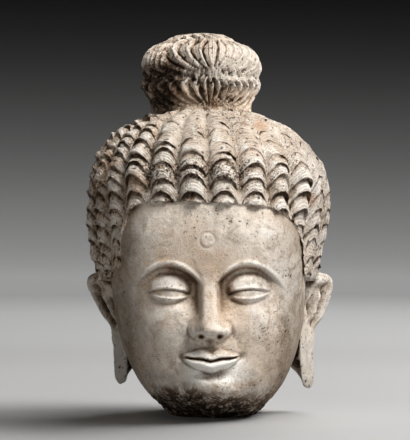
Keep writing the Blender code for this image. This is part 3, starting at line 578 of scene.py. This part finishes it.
def ear_points(steps, rows, side):
    """Rings round one ear: carved front, rim, back, root in the skull, and the web."""
    z = np.linspace(EAR_BOTTOM, EAR_TOP, rows)
    front = stack([through(EAR_FRONT_X, z), through(EAR_FRONT_Y, z)], axis=-1)
    rim = stack([through(EAR_RIM_X, z), through(EAR_RIM_Y, z)], axis=-1)
    front_x, rim_x, root_x = front[:, 0], rim[:, 0], through(EAR_ROOT_X, z)
    web_y = front[:, 1] + through(WEB_SET_BACK, z)
    back_y = rim[:, 1] + 3.0
    face_way = rim - front
    length = np.linalg.norm(face_way, axis=1, keepdims=True)
    outward = stack([face_way[:, 1], -face_way[:, 0]], axis=-1) / length
    share = np.linspace(0, 1, steps + 1)
    carved = ear_carving(share[None, :], z[:, None])
    belly = 2.4 * np.sqrt(clip(1 - (2 * share - 1) ** 2, 0, 1)) * smoothstep(84, 66, z)[:, None]
    line = front[:, None] + share[None, :, None] * face_way[:, None]
    line = line + outward[:, None] * (carved + belly)[..., None]
    corners = ((rim_x + 0.4, back_y), (rim_x - 3.0, back_y + 3.0), (0.5 * (rim_x + root_x), back_y + 3.0),
               (root_x, back_y), (root_x, 0.5 * (back_y + web_y)), (root_x, web_y),
               (0.5 * (root_x + front_x), web_y), (front_x + 0.6, web_y - 0.5))
    corners = np.moveaxis(np.array(corners), -1, 0)
    plan = np.concatenate([line, corners], axis=1)
    height = np.broadcast_to(z[:, None, None], plan.shape[:2] + (1,))
    points = np.concatenate([plan, height], axis=-1)
    if side < 0:
        points[..., 0] -= through(LEFT_EAR_IN, z)[:, None]
        points[..., 2] += LEFT_LOBE_RISE * smoothstep(75, EAR_BOTTOM, points[..., 2])
        points = points[:, ::-1] * np.array([-1, 1, 1])
    return points


def ear(name, side):
    """One long ear; side is 1 for +X and -1 for -X."""
    rows = int((EAR_TOP - EAR_BOTTOM) / EAR_ROW)
    points = ear_points(EAR_FACE_STEPS, rows, side)
    low = points[0].mean(axis=0) - np.array([0, 0, 1.0])
    high = points[-1].mean(axis=0) + np.array([0, 0, 1.0])
    return closed_object(name, points, low, high)


# ---------------------------------------------------------------- building

def leaned(points, way=1):
    """Leans the head and centres its depth on the origin, or with way -1 undoes that."""
    moved = np.array(points, float)
    moved[..., 0] += way * np.tan(radians(LEAN)) * (LEAN_PIVOT - moved[..., 2])
    moved[..., 1] += way * MIDDLE_Y
    return moved


def mesh_object(name, points, faces):
    mesh = bpy.data.meshes.new(name)
    mesh.from_pydata(points.tolist(), [], faces)
    placed = bpy.data.objects.new(name, mesh)
    bpy.context.scene.collection.objects.link(placed)
    return placed


def ring_faces(rows, columns):
    """Four-sided faces between rings of points that are numbered ring by ring."""
    index = np.arange(rows * columns).reshape(rows, columns)
    after = np.roll(index, -1, axis=1)
    return stack([index[:-1], after[:-1], after[1:], index[1:]], axis=-1).reshape(-1, 4).tolist()


def closed_object(name, rings, low, high):
    """Closed mesh object from rings that run round anticlockwise, lowest ring first."""
    rows, columns = rings.shape[:2]
    points = np.concatenate([rings.reshape(-1, 3), [low, high]])
    first, last, count = np.arange(columns), np.arange(columns) + (rows - 1) * columns, rows * columns
    faces = ring_faces(rows, columns)
    faces += [(b, a, count) for a, b in zip(first.tolist(), np.roll(first, -1).tolist())]
    faces += [(a, b, count + 1) for a, b in zip(last.tolist(), np.roll(last, -1).tolist())]
    return mesh_object(name, leaned(points) * MM, faces)


def prism(name, outline, way):
    """Cutter: a flat outline pushed along way."""
    count = len(outline)
    near = np.array(outline, float)
    points = np.concatenate([near, near + np.array(way, float)])
    faces = [tuple(range(count)), tuple(range(2 * count - 1, count - 1, -1))]
    faces += [(i, i + count, (i + 1) % count + count, (i + 1) % count) for i in range(count)]
    return mesh_object(name, leaned(points) * MM, faces)


def combine(target, other, operation):
    modifier = target.modifiers.new(other.name, 'BOOLEAN')
    modifier.operation = operation
    modifier.solver = 'MANIFOLD'
    modifier.object = other


def read(items, name, kind, width=1):
    """One value, or width of them, of each item of a mesh, as an array."""
    values = np.empty(len(items) * width, kind)
    items.foreach_get(name, values)
    return values.reshape(-1, width) if width > 1 else values


def fused():
    """Points in millimetres, triangles, and the shell of each triangle, of the whole head."""
    shells = ((skull(), SKULL), (hair(), HAIR), (topknot(), TOPKNOT), (ear("ear_right", 1), EARS),
              (ear("ear_left", -1), EARS))
    spare = []
    for made, shell in shells:
        # each face is marked with its shell, so that this is still known once all are one
        for placed in [made] + [modifier.object for modifier in made.modifiers]:
            mark = placed.data.attributes.new("shell", 'INT', 'FACE')
            mark.data.foreach_set("value", np.full(len(placed.data.polygons), shell, np.int32))
            spare.append(placed)
    head = shells[0][0]
    for made, _ in shells[1:]:
        combine(head, made, 'UNION')
    solved = head.evaluated_get(bpy.context.evaluated_depsgraph_get()).to_mesh()
    solved.calc_loop_triangles()
    points = read(solved.vertices, "co", float, 3) / MM
    triangles = read(solved.loop_triangles, "vertices", np.int32, 3)
    polygon = read(solved.loop_triangles, "polygon_index", np.int32)
    shell = read(solved.attributes["shell"].data, "value", np.int32)[polygon]
    for placed in spare:
        bpy.data.objects.remove(placed)
    return points, triangles, shell


# ---------------------------------------------------------------- age

class Surface:
    """A triangle mesh as arrays, with the sums over neighbours that wear, dirt and painted shade need."""

    def __init__(self, points, triangles):
        self.points = points
        self.triangles = triangles
        pairs = np.concatenate([triangles[:, [0, 1]], triangles[:, [1, 2]], triangles[:, [2, 0]]])
        pairs = np.unique(np.sort(pairs, axis=1), axis=0)
        self.start = np.concatenate([pairs[:, 0], pairs[:, 1]])
        self.end = np.concatenate([pairs[:, 1], pairs[:, 0]])
        self.degree = np.bincount(self.start, minlength=len(points))

    def averaged(self, values, times=1):
        """Each value replaced by the mean of its neighbours', over and over."""
        for _ in range(times):
            columns = values.reshape(len(values), -1).T
            total = [np.bincount(self.start, column[self.end], len(values)) for column in columns]
            values = (stack(total, axis=-1) / self.degree[:, None]).reshape(values.shape)
        return values

    def relaxed(self, times):
        """The points, each drawn half way to the mean of its neighbours, over and over."""
        points = self.points
        for _ in range(times):
            points = points + 0.5 * (self.averaged(points) - points)
        return points

    def ease(self, weight, eased):
        self.points = self.points + weight[:, None] * (eased - self.points)

    def gathered(self, values):
        """Sum at each point of a value of the triangles round it."""
        return sum(np.bincount(corner, values, len(self.points)) for corner in self.triangles.T)

    def normals(self):
        corner = self.points[self.triangles]
        face = np.cross(corner[:, 1] - corner[:, 0], corner[:, 2] - corner[:, 0])
        total = stack([self.gathered(column) for column in face.T], axis=-1)
        return total / np.maximum(np.linalg.norm(total, axis=1, keepdims=True), 1e-9)

    def under(self, eased):
        """How far each point lies below a smoother surface."""
        return np.sum((eased - self.points) * self.normals(), axis=1)

    def push(self, distance):
        self.points = self.points + self.normals() * distance[:, None]


def soften_seams(surface, shares):
    """Small fillets where two shells meet, and wide ones where the hair meets the temples."""
    seam = (np.max(shares, axis=0) < 0.999).astype(float)
    x, y, z = surface.points.T
    temple = seam * smoothstep(60, 72, abs(x)) * smoothstep(126, 134, z) * smoothstep(0, -20, y)
    surface.ease(clip(surface.averaged(temple, 4) * 2.2, 0, 1), surface.relaxed(24))
    surface.ease(clip(surface.averaged(seam) * 3, 0, 1), surface.relaxed(4))


def weather(surface, worn):
    """Rounds crests off, as far as each place is worn."""
    eased = surface.relaxed(6)
    surface.ease(worn * smoothstep(-0.05, 0.4, -surface.under(eased)), eased)


def pit(surface, places, radii, depths):
    """Sinks round pits into the surface, and says how far inside one each point lies."""
    tree = KDTree(len(surface.points))
    for index, point in enumerate(surface.points.tolist()):
        tree.insert(point, index)
    tree.balance()
    sunk = np.zeros(len(surface.points))
    inside = np.zeros(len(surface.points))
    for place, radius, depth in zip(places.tolist(), radii.tolist(), depths.tolist()):
        for _, index, distance in tree.find_range(place, radius):
            share = 1 - (distance / radius) ** 2
            sunk[index] = max(sunk[index], depth * share)
            inside[index] = max(inside[index], share)
    surface.push(-sunk)
    return inside


def hair_place(points):
    """Degrees round the crown and down from it at each point of the cap of hair."""
    x, y, z = (leaned(points, -1) - np.array([HAIR_X, 0, HAIR_Z])).T
    ring = np.hypot(x / HAIR_SIDE, y / where(y < 0, HAIR_FRONT, HAIR_BACK)) ** (1 / HAIR_SQUARE)
    level = clip(z / HAIR_RISE, 0, None) ** (1 / HAIR_SQUARE)
    above = degrees(arctan2(ring, level))
    below = degrees(np.arccos(clip(z / HAIR_DROP, -1, 0)))
    return degrees(arctan2(x, -y)), where(z > 0, above, below)


def strands(surface, on_knot):
    """Counts the fine strands of hair across: they follow the lips, and the ribs of the topknot."""
    turn, polar = hair_place(surface.points)
    lock = where(polar < 90, polar / LOCK_TURN - 1, WIDEST_LOCK + (polar - 90) / LOCK_TURN_LOW)
    arch = ARCH * sin(radians(np.minimum(polar, 150)))
    locks = lock - arch * off_middle(turn) ** ARCH_POWER
    side = smoothstep(62, 80, turn) * smoothstep(50, 66, polar)
    upright_ones = turn / 5.4 + 0.3 * sin(radians(polar * 26))
    on_cap = 4.0 * (locks + side * (upright_ones - locks))
    points = leaned(surface.points, -1)
    upper, lower, _ = rib_places(points)
    ribbed = where(points[:, 2] > PINCH_Z, 3.0 * upper, 3.0 * lower)
    return where(on_knot > 0.5, ribbed, on_cap)


def shut_in(surface):
    """How much of the sky over each point the head itself hides, from 0 to 1."""
    tree = BVHTree.FromPolygons(surface.points.tolist(), surface.triangles.tolist())
    normals = surface.normals()
    around = np.arange(SKY_RAYS) * GOLDEN_TURN
    up = np.sqrt(1 - (np.arange(SKY_RAYS) + 0.5) / SKY_RAYS)
    flat = np.sqrt(1 - up ** 2)
    across = np.cross(normals, where(abs(normals[:, 2:]) < 0.9, [[0, 0, 1.0]], [[1.0, 0, 0]]))
    across /= np.linalg.norm(across, axis=1, keepdims=True)
    third = np.cross(normals, across)
    starts = [Vector(p) for p in (surface.points + normals * 0.15).tolist()]
    hidden = np.zeros(len(starts))
    for turn, high, low in zip(around, up, flat):
        ways = normals * high + low * (cos(turn) * across + sin(turn) * third)
        for index, (start, way) in enumerate(zip(starts, ways.tolist())):
            hit = tree.ray_cast(start, way, SKY_REACH)
            if hit[0] is not None:
                hidden[index] += 1 - hit[3] / SKY_REACH
    return surface.averaged(hidden / SKY_RAYS)


def aged():
    """The carved head with its wear, pits and rough break, and what its stucco needs to know."""
    points, triangles, shell = fused()
    surface = Surface(points, triangles)
    around = surface.gathered(np.ones(len(shell)))
    shares = [surface.gathered(shell == wanted) / around for wanted in (SKULL, HAIR, TOPKNOT, EARS)]
    on_skull, on_hair, on_knot, on_ears = shares
    level = points[:, 2]
    base = level < BASE_Z
    soften_seams(surface, shares)
    strand = strands(surface, on_knot)
    x, _, z = surface.points.T
    rubbed = on_hair * (1 - crispness(*hair_place(surface.points))) + on_knot * smoothstep(10, 40, x)
    rubbed = clip(rubbed, 0, 1)
    weather(surface, 0.3 * on_hair + 0.25 * on_ears + 0.3 * on_knot + 0.6 * rubbed)

    # unevenness, gouges and the lumpy break
    carved = clip(on_hair + on_knot * smoothstep(266, 280, z), 0, 1)
    bound = on_knot * smoothstep(300, 306, z)
    coarse = uneven(surface.points, 13.0)
    fine = uneven(surface.points, 2.8, 2)
    gouged = clip(uneven(surface.points + 90, 5.0, 3) - GOUGE_FROM, 0, 0.5)
    lumps = uneven(surface.points + 50, 6.0)
    broken = on_skull * (1 - smoothstep(6, 22, surface.points[:, 2]))
    rough = 0.18 + 0.35 * carved + 0.12 * on_ears + 0.5 * rubbed
    surface.push(rough * coarse + (0.07 + 0.4 * carved - 0.2 * bound + 0.1 * on_ears) * fine
                 - (2.4 * carved - 1.9 * bound + 0.8 * on_ears) * gouged
                 + broken * (2.6 * lumps - 0.6))

    # pits
    chance = np.random.default_rng(PIT_SEED)
    picked = chance.choice(len(surface.points), PIT_TRIES, replace=False)
    keep = chance.random(len(picked)) < 0.05 + 0.9 * (carved + 0.6 * on_ears)[picked]
    picked = picked[keep & ~base[picked]]
    radii = PIT_RADIUS + PIT_SPREAD * chance.random(len(picked)) ** 2.5
    radii = radii * (1 - 0.4 * on_skull[picked])
    inside = pit(surface, surface.points[picked], radii, radii * (0.45 + 0.3 * chance.random(len(picked))))
    surface.points[:, 2] = where(base, level, np.maximum(surface.points[:, 2], FLOOR_GAP))

    # what the material needs to know at each point
    hollow = surface.under(surface.relaxed(5))
    furrow = on_hair * smoothstep(0.76, 1.0, off_middle(hair_place(surface.points)[0]))
    facts = {"shut": shut_in(surface) * (1 - 0.5 * furrow), "basin": surface.under(surface.relaxed(40)),
             "hollow": surface.averaged(hollow) - 0.35 * furrow, "pitted": inside, "strand": strand,
             "on_hair": on_hair, "on_knot": on_knot, "on_ears": on_ears}
    return surface, facts


def dressed():
    """The head as one smooth-shaded object."""
    surface, facts = aged()
    placed = mesh_object("head", surface.points * MM, surface.triangles.tolist())
    placed.data.shade_smooth()
    for name, values in facts.items():
        held = placed.data.attributes.new(name, 'FLOAT', 'POINT')
        held.data.foreach_set("value", values.astype(np.float32))
    return placed


# ---------------------------------------------------------------- stucco

def linear(red, green, blue):
    """Colour as it looks, 0 to 255, turned into the amounts of light that a shader takes."""
    seen = np.array((red, green, blue)) / 255.0
    light = where(seen <= 0.04045, seen / 12.92, ((seen + 0.055) / 1.055) ** 2.4)
    return (*light.tolist(), 1.0)


class Amount:
    """A number that a node tree works out; sums with it add the nodes that do them."""

    def __init__(self, nodes, socket):
        self.nodes = nodes
        self.socket = socket

    def __add__(self, other):
        return self.nodes.maths('ADD', self, other)

    def __sub__(self, other):
        return self.nodes.maths('SUBTRACT', self, other)

    def __rsub__(self, other):
        return self.nodes.maths('SUBTRACT', other, self)

    def __mul__(self, other):
        return self.nodes.maths('MULTIPLY', self, other)

    def __abs__(self):
        return self.nodes.maths('ABSOLUTE', self)

    __radd__ = __add__
    __rmul__ = __mul__

    def ramp(self, low, high, to_low=0.0, to_high=1.0):
        """Even ramp from to_low, where this is low, to to_high, where it is high."""
        made = self.nodes.add('ShaderNodeMapRange', ('Value', self), ('From Min', low), ('From Max', high),
                              ('To Min', to_low), ('To Max', to_high), interpolation_type='SMOOTHSTEP')
        return Amount(self.nodes, made.outputs['Result'])


class Nodes:
    """A material's node tree, with a short way to add each kind of node."""

    def __init__(self, name):
        self.material = bpy.data.materials.new(name)
        self.material.use_nodes = True
        self.tree = self.material.node_tree
        self.tree.nodes.clear()
        self.place = self.add('ShaderNodeTexCoord').outputs['Object']

    def add(self, kind, *given, **settings):
        made = self.tree.nodes.new(kind)
        for name, value in settings.items():
            setattr(made, name, value)
        for socket, value in given:
            value = getattr(value, "socket", value)
            if isinstance(value, bpy.types.NodeSocket):
                self.tree.links.new(value, made.inputs[socket])
            else:
                made.inputs[socket].default_value = value
        return made

    def maths(self, operation, *values):
        made = self.add('ShaderNodeMath', *enumerate(values), operation=operation)
        return Amount(self, made.outputs[0])

    def axes(self):
        """Place on the object, in metres along each axis."""
        split = self.add('ShaderNodeSeparateXYZ', ('Vector', self.place))
        return [Amount(self, output) for output in split.outputs]

    def fact(self, name):
        return Amount(self, self.add('ShaderNodeAttribute', attribute_name=name).outputs['Fac'])

    def clouds(self, scale, detail=4.0, roughness=0.55, distortion=0.0):
        """Noise around 0.5, with scale times as many lumps to the metre."""
        made = self.add('ShaderNodeTexNoise', ('Vector', self.place), ('Scale', scale), ('Detail', detail),
                        ('Roughness', roughness), ('Distortion', distortion))
        return Amount(self, made.outputs['Fac'])

    def film(self, share, colour, blend='MIX'):
        """Lays a colour over the tone so far."""
        made = self.add('ShaderNodeMix', (0, share), (6, self.tone), (7, colour), data_type='RGBA',
                        blend_type=blend)
        self.tone = made.outputs[2]


# Films, stains and painted light and shade, as they look
CREAM = linear(233, 223, 210)
BEIGE = linear(211, 194, 176)
ROSE = linear(205, 178, 158)
OCHRE = linear(198, 160, 116)
RUST = linear(186, 138, 98)
GREY = linear(170, 158, 145)
COOL = linear(186, 179, 174)
OLIVE = linear(132, 109, 86)
BROWN = linear(82, 62, 45)
BLACK = linear(27, 22, 17)
WHITE = linear(243, 238, 230)
CHALK = linear(255, 253, 246)
HAIR_SHADE = linear(233, 230, 227)
SIDE_SHADE_AND_FILM = linear(172, 166, 159)
# Rust-coloured stains on the hair and topknot, and crowds of dots on the face: x, z and size in metres
RUST_STAINS = ((0.045, 0.253, 0.008), (-0.062, 0.204, 0.012), (-0.027, 0.283, 0.01),
               (0.004, 0.274, 0.006), (0.09, 0.19, 0.007), (-0.085, 0.222, 0.01))
DOT_CROWDS = ((0.008, 0.114, 0.02), (0.04, 0.146, 0.03), (0.066, 0.127, 0.018),
              (0.058, 0.075, 0.026), (0.066, 0.03, 0.03), (0.02, 0.167, 0.02))


def stucco():
    """Old lime stucco: cream, with ochre and grey films, dirt in the hollows and dark pits."""
    n = Nodes("old_stucco")
    x, _, z = n.axes()
    shut, hollow, basin = n.fact("shut"), n.fact("hollow"), n.fact("basin")
    on_hair, on_knot, on_ears = n.fact("on_hair"), n.fact("on_knot"), n.fact("on_ears")
    carved = n.maths('MINIMUM', on_hair + on_knot, 1.0)
    coarse = n.maths('MAXIMUM', carved, on_ears * 0.6)
    plain = 1.0 - coarse
    clouds = n.clouds(14.0)
    patch = n.clouds(30.0, 5.0, 0.6, 1.0)
    blotch = n.clouds(52.0, 6.0, 0.65, 0.8)
    mottle = n.clouds(95.0, 8.0, 0.68, 0.4)
    grain = n.clouds(400.0, 4.0, 0.7)
    dust = n.clouds(900.0, 3.0, 0.6)
    ragged = (mottle - 0.5) * 1.1 + (grain - 0.5) * 1.1

    # where dirt has settled most, darkened further with painted shade: the left side, the left of the
    # topknot, and under the chin
    left = x.ramp(0.0, -0.095)
    edge = x.ramp(-0.074, -0.104) * z.ramp(0.24, 0.18)
    edge = edge * (coarse * 0.2 + 0.3) * z.ramp(0.055, 0.085, 0.3, 1.0)
    bun = (ragged * 0.02 + x).ramp(-0.016, -0.034) * on_knot
    bun = bun * (ragged * 0.01 + z).ramp(0.316, 0.306) * z.ramp(0.262, 0.28, 0.5, 1.0)
    torn = (patch - 0.5) * 0.05 + ragged * 0.016 + abs(x - 0.004) * 0.16
    under = (torn + z).ramp(0.05, 0.017, 0.0, 1.65) * (mottle + grain).ramp(0.8, 1.12, 0.55, 1.1)
    soiled_and_shaded = n.maths('MAXIMUM', n.maths('MAXIMUM', edge, bun), under)
    # a band of black growth across the locks in front
    band = z.ramp(0.203, 0.209) * z.ramp(0.224, 0.217)
    band = band * x.ramp(-0.062, -0.048) * x.ramp(0.05, 0.03) * grain.ramp(0.46, 0.56) * on_hair

    # films that lie on the surface
    n.tone = CREAM
    n.film(clouds.ramp(0.42, 0.62, 0.0, 0.8), BEIGE)
    n.film(patch.ramp(0.47, 0.66) * (left * 0.5 + 0.24), OCHRE)
    n.film(blotch.ramp(0.47, 0.36, 0.0, 0.45), ROSE)
    n.film(mottle.ramp(0.42, 0.64) * clouds.ramp(0.62, 0.4, 0.2, 0.6), GREY)
    right = x.ramp(0.066, 0.1) * carved * mottle.ramp(0.6, 0.4)
    n.film(right * 0.75, COOL)
    n.film(blotch.ramp(0.55, 0.66, 0.0, 0.42), OLIVE)

    # rubbed crests are pale, with painted highlights on them and on the proud places of the face
    n.film(hollow.ramp(-0.1, -0.6) * mottle.ramp(0.6, 0.45, 0.3, 0.9), WHITE)
    proud = basin.ramp(-0.22, -0.7) * plain * mottle.ramp(0.62, 0.46)
    n.film(proud * 0.7, WHITE)

    # both lobes are paler than the ears over them, and the shaded left lobe gets painted light as well
    lobes = on_ears * z.ramp(0.08, 0.055, 0.0, 0.6) * (left * 0.5 + 1.0)
    n.film(lobes, WHITE)

    # rough brown patches and worn grey ones on the plain surface
    scab = n.clouds(21.0, 6.0, 0.66, 0.7).ramp(0.53, 0.64) * plain
    scab = scab * (x * 1.2 + grain).ramp(0.4, 0.62, 0.15, 0.8)
    n.film(scab * 0.5, OLIVE)
    faded = n.clouds(38.0, 5.0, 0.62, 0.5).ramp(0.45, 0.36) * plain
    n.film(faded * 0.38, COOL)

    # the hair is a shade darker than the face
    n.film(on_hair * 0.6, HAIR_SHADE, 'MULTIPLY')

    # the foot of the topknot is browned rather than black
    foot = on_knot * z.ramp(0.292, 0.28) * x.ramp(-0.036, -0.02)
    n.film(foot * 0.35, OCHRE)

    # the chin is rubbed pale and gets a painted highlight
    aside = abs(ragged * 0.014 + x - 0.006)
    chin = aside.ramp(0.036, 0.012) * z.ramp(0.03, 0.038) * z.ramp(0.06, 0.05) * plain
    n.film(chin * 0.95, CHALK)

    # painted shade down both sides of the face, heavier below and at the temples, and a thin grey film on
    # the right jaw
    sides = n.maths('MAXIMUM', (ragged * 0.02 + x).ramp(0.032, 0.084),
                    (ragged * 0.02 + x).ramp(-0.05, -0.075) * 1.25)
    side_shade = sides * (z.ramp(0.085, 0.115, 1.25, 0.82) + z.ramp(0.12, 0.15, 0.0, 0.32)) * 0.85
    jaw = z.ramp(0.08, 0.045, 0.0, 0.3) * x.ramp(0.016, 0.038)
    n.film((side_shade + jaw) * plain, SIDE_SHADE_AND_FILM, 'MULTIPLY')

    # the ridge of the nose is a little browner
    bridge = abs(x).ramp(0.024, 0.01) * plain * z.ramp(0.074, 0.09) * z.ramp(0.15, 0.13)
    n.film(bridge * 0.5, BEIGE, 'MULTIPLY')

    for across, up, size in RUST_STAINS:
        off = abs(x - across) + abs(z - up)
        near = (ragged * size + off).ramp(size * 1.5, size * 0.3)
        n.film(near * carved * 0.5, RUST)

    # dirt and painted shade: darker where the head hides the sky, in hollows and creases, on the left,
    # round the left of the topknot, under the chin and under the fringe, from thin in shallow places to
    # black in deep ones
    fringe = on_hair * z.ramp(0.186, 0.19) * z.ramp(0.207, 0.2)
    depth = shut + basin.ramp(0.0, 3.0) * 0.2 + left * (coarse * 0.06 + 0.05)
    depth = depth - lobes * 0.3 - foot * 0.28 + soiled_and_shaded * 0.42 + band * 0.45 + fringe * 0.1
    reach = depth + ragged * (coarse * 0.6 + 0.4) - coarse * 0.12
    n.film(reach.ramp(0.12, 0.44, 0.0, 0.62), OLIVE)
    n.film(reach.ramp(0.32, 0.62, 0.0, 0.85), BROWN)
    n.film(reach.ramp(0.52, 0.84, 0.0, 0.92), BLACK)
    n.film(hollow.ramp(0.2, 0.9, 0.0, 0.6), BROWN)
    n.film((on_knot - foot) * hollow.ramp(0.12, 0.5, 0.0, 0.72), BLACK)
    crease = hollow.ramp(0.08, 0.42) * plain
    n.film(crease * mottle.ramp(0.35, 0.6, 0.7, 0.35), BROWN)
    n.film(hollow.ramp(0.45, 0.9) * plain, BLACK)

    # dark grains caught in the rough places, and dots of black growth on the plain ones
    caught = grain.ramp(0.56, 0.64) * patch.ramp(0.38, 0.58, 0.1, 1.0)
    n.film(caught * (coarse * 0.6 + 0.2), BROWN)
    fine = dust.ramp(0.54, 0.63) * patch.ramp(0.44, 0.58)
    n.film(fine * (coarse * 0.55 + 0.3), BLACK)
    crowd = (x * 0.9 + n.clouds(24.0, 4.0, 0.6)).ramp(0.5, 0.68, -0.04, 0.035)
    for across, up, size in DOT_CROWDS:
        crowd = crowd + (abs(x - across) + abs(z - up)).ramp(size, size * 0.2, 0.0, 0.05)
    dots = (n.clouds(430.0, 3.0, 0.62) + crowd).ramp(0.64, 0.7)
    n.film(dots * plain * 0.85, BLACK)
    n.film(n.fact("pitted").ramp(0.15, 0.75, 0.0, 0.8), BLACK)

    turns = n.fact("strand") * (2 * np.pi) + mottle * 5.0
    strand = n.maths('SINE', turns) * carved * grain.ramp(0.7, 0.4)
    n.film(strand.ramp(-0.3, -0.9, 0.0, 0.3), BROWN)
    height = strand * 0.3 + (grain + dust * 0.5) * (coarse * 1.45 + 0.75)
    bump = n.add('ShaderNodeBump', ('Height', height), ('Strength', 0.8), ('Distance', 0.0011))
    shader = n.add('ShaderNodeBsdfPrincipled', ('Base Color', n.tone), ('Normal', bump.outputs[0]),
                   ('Roughness', mottle.ramp(0.3, 0.7, 0.75, 0.95)), ('Specular IOR Level', 0.16))
    n.add('ShaderNodeOutputMaterial', ('Surface', shader.outputs[0]))
    return n.material


# ---------------------------------------------------------------- studio

# Sizes and places here are in metres
CAMERA_DISTANCE = 1.8
CAMERA_X = -0.0027
CAMERA_Z = 0.172
VIEW_HALF = 0.1965
STAGE_SIDES = 96
STAGE_RADIUS = 3.2
COVE = 0.35
COVE_STEPS = 13
STAGE_TOP = 3.4
STAGE_END = 5.2
# Run from the middle plus twice the height, how pale the paper is painted there as falling light would
# leave it, and how much painted light it gives off
STAGE_TONES = ((0.2, 0.54, 0.0), (0.55, 0.54, 0.09), (1.1, 0.5, 0.17), (1.95, 0.48, 0.215),
               (3.08, 0.45, 0.195), (3.24, 0.43, 0.13), (3.44, 0.42, 0.074), (3.62, 0.37, 0.042),
               (3.78, 0.27, 0.031), (3.92, 0.198, 0.023), (4.06, 0.138, 0.016), (4.2, 0.092, 0.01),
               (4.34, 0.057, 0.006), (4.48, 0.031, 0.0045), (4.62, 0.015, 0.0035),
               (5.2, 0.007, 0.003))


# Name, place, size, power in watts, colour
LAMPS = (("key", (0.95, -1.0, 1.78), (1.0, 1.0), 70.0, (1.0, 0.982, 0.962)),
         ("stage_lamp", (1.15, 0.85, 1.95), (3.2, 1.2), 54.0, (1.0, 0.99, 0.98)),
         ("side", (1.44, 0.5, 1.5), (1.2, 1.2), 12.0, (1.0, 0.985, 0.965)),
         ("fill", (-1.5, -1.6, 0.5), (1.6, 1.6), 3.9, (1.0, 0.95, 0.89)))
HEAD_MIDDLE = (0, 0, 0.17)
WORLD_LIGHT = 0.12


def aim(placed, at):
    placed.rotation_euler = (Vector(at) - placed.location).to_track_quat('-Z', 'Y').to_euler()


def only_on(lamp, shown):
    """Lets a lamp light one object only; everything still casts shadows."""
    group = bpy.data.collections.new(lamp.name + "_lights")
    group.objects.link(shown)
    lamp.light_linking.receiver_collection = group


def studio(shown):
    """Camera level with the top of the forehead, a round cyclorama, big soft lights and a fill."""
    scene = bpy.context.scene
    camera = bpy.data.objects.new("camera", bpy.data.cameras.new("camera"))
    camera.data.angle = 2 * np.arctan(VIEW_HALF / CAMERA_DISTANCE)
    camera.location = (CAMERA_X, -CAMERA_DISTANCE, CAMERA_Z)
    aim(camera, (CAMERA_X, 0, CAMERA_Z))
    scene.collection.objects.link(camera)
    scene.camera = camera

    for name, place, size, power, tint in LAMPS:
        lamp = bpy.data.lights.new(name, 'AREA')
        lamp.shape = 'ELLIPSE' if size[0] == size[1] else 'RECTANGLE'
        lamp.size, lamp.size_y = size
        lamp.energy = power
        lamp.color = tint
        placed = bpy.data.objects.new(name, lamp)
        placed.location = place
        aim(placed, HEAD_MIDDLE)
        scene.collection.objects.link(placed)

    stage = backdrop()
    only_on(scene.objects["key"], shown)
    only_on(scene.objects["stage_lamp"], stage)

    world = bpy.data.worlds.new("studio")
    world.use_nodes = True
    background = world.node_tree.nodes["Background"].inputs
    background["Color"].default_value = (0.5, 0.5, 0.5, 1)
    background["Strength"].default_value = WORLD_LIGHT
    scene.world = world
    scene.view_settings.view_transform = 'Standard'
    return stage


def backdrop():
    """Round floor that sweeps up into a wall, painted lighter below and dark above."""
    bend = np.linspace(0, np.pi / 2, COVE_STEPS)
    run = [0.02, 0.6, 1.2, 2.0, *(STAGE_RADIUS - COVE + COVE * sin(bend)), STAGE_RADIUS]
    rise = [0.0] * 4 + [*(COVE - COVE * cos(bend)), STAGE_TOP]
    turn = np.arange(STAGE_SIDES) * 2 * np.pi / STAGE_SIDES
    ring = stack([cos(turn), sin(turn)], axis=-1)
    points = [(*(radius * way), height) for radius, height in zip(run, rise) for way in ring]
    # the faces are turned to look inwards
    faces = [face[::-1] for face in ring_faces(len(run), STAGE_SIDES)]
    faces.append(list(range(STAGE_SIDES)))
    placed = mesh_object("backdrop", np.array(points), faces)
    placed.data.shade_smooth()
    placed.data.materials.append(paper())
    return placed


def paper():
    """Studio paper painted with light: its tone fades to black up the wall, and it gives off painted light
    of its own.
    """
    n = Nodes("studio_paper")
    _, y, z = n.axes()
    flat = n.add('ShaderNodeVectorMath', (0, n.place), (1, (1, 1, 0)), operation='MULTIPLY')
    out = n.add('ShaderNodeVectorMath', (0, flat.outputs[0]), operation='LENGTH').outputs['Value']
    run = (z * 2.0 + out) * (1 / STAGE_END)
    tones = []
    for column in (1, 2):
        graded = n.add('ShaderNodeValToRGB', ('Fac', run))
        stops = graded.color_ramp.elements
        for index, knot in enumerate(STAGE_TONES):
            stop = stops[index] if index < 2 else stops.new(knot[0] / STAGE_END)
            stop.position = knot[0] / STAGE_END
            stop.color = (knot[column],) * 3 + (1,)
        tones.append(graded.outputs['Color'])
    # painted falloff of light: the floor is painted paler towards the front
    forward = y.ramp(0.9, -0.25, 0.78, 1.38)
    pale = n.add('ShaderNodeVectorMath', ('Vector', tones[0]), ('Scale', forward), operation='SCALE')
    diffuse = n.add('ShaderNodeBsdfDiffuse', ('Color', pale.outputs[0]))
    painted_glow = n.add('ShaderNodeEmission', ('Color', tones[1]))
    both = n.add('ShaderNodeAddShader', (0, diffuse.outputs[0]), (1, painted_glow.outputs[0]))
    n.add('ShaderNodeOutputMaterial', ('Surface', both.outputs[0]))
    return n.material


head = dressed()
head.data.materials.append(stucco())
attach(head, "root")
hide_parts(NODE)
studio(head)
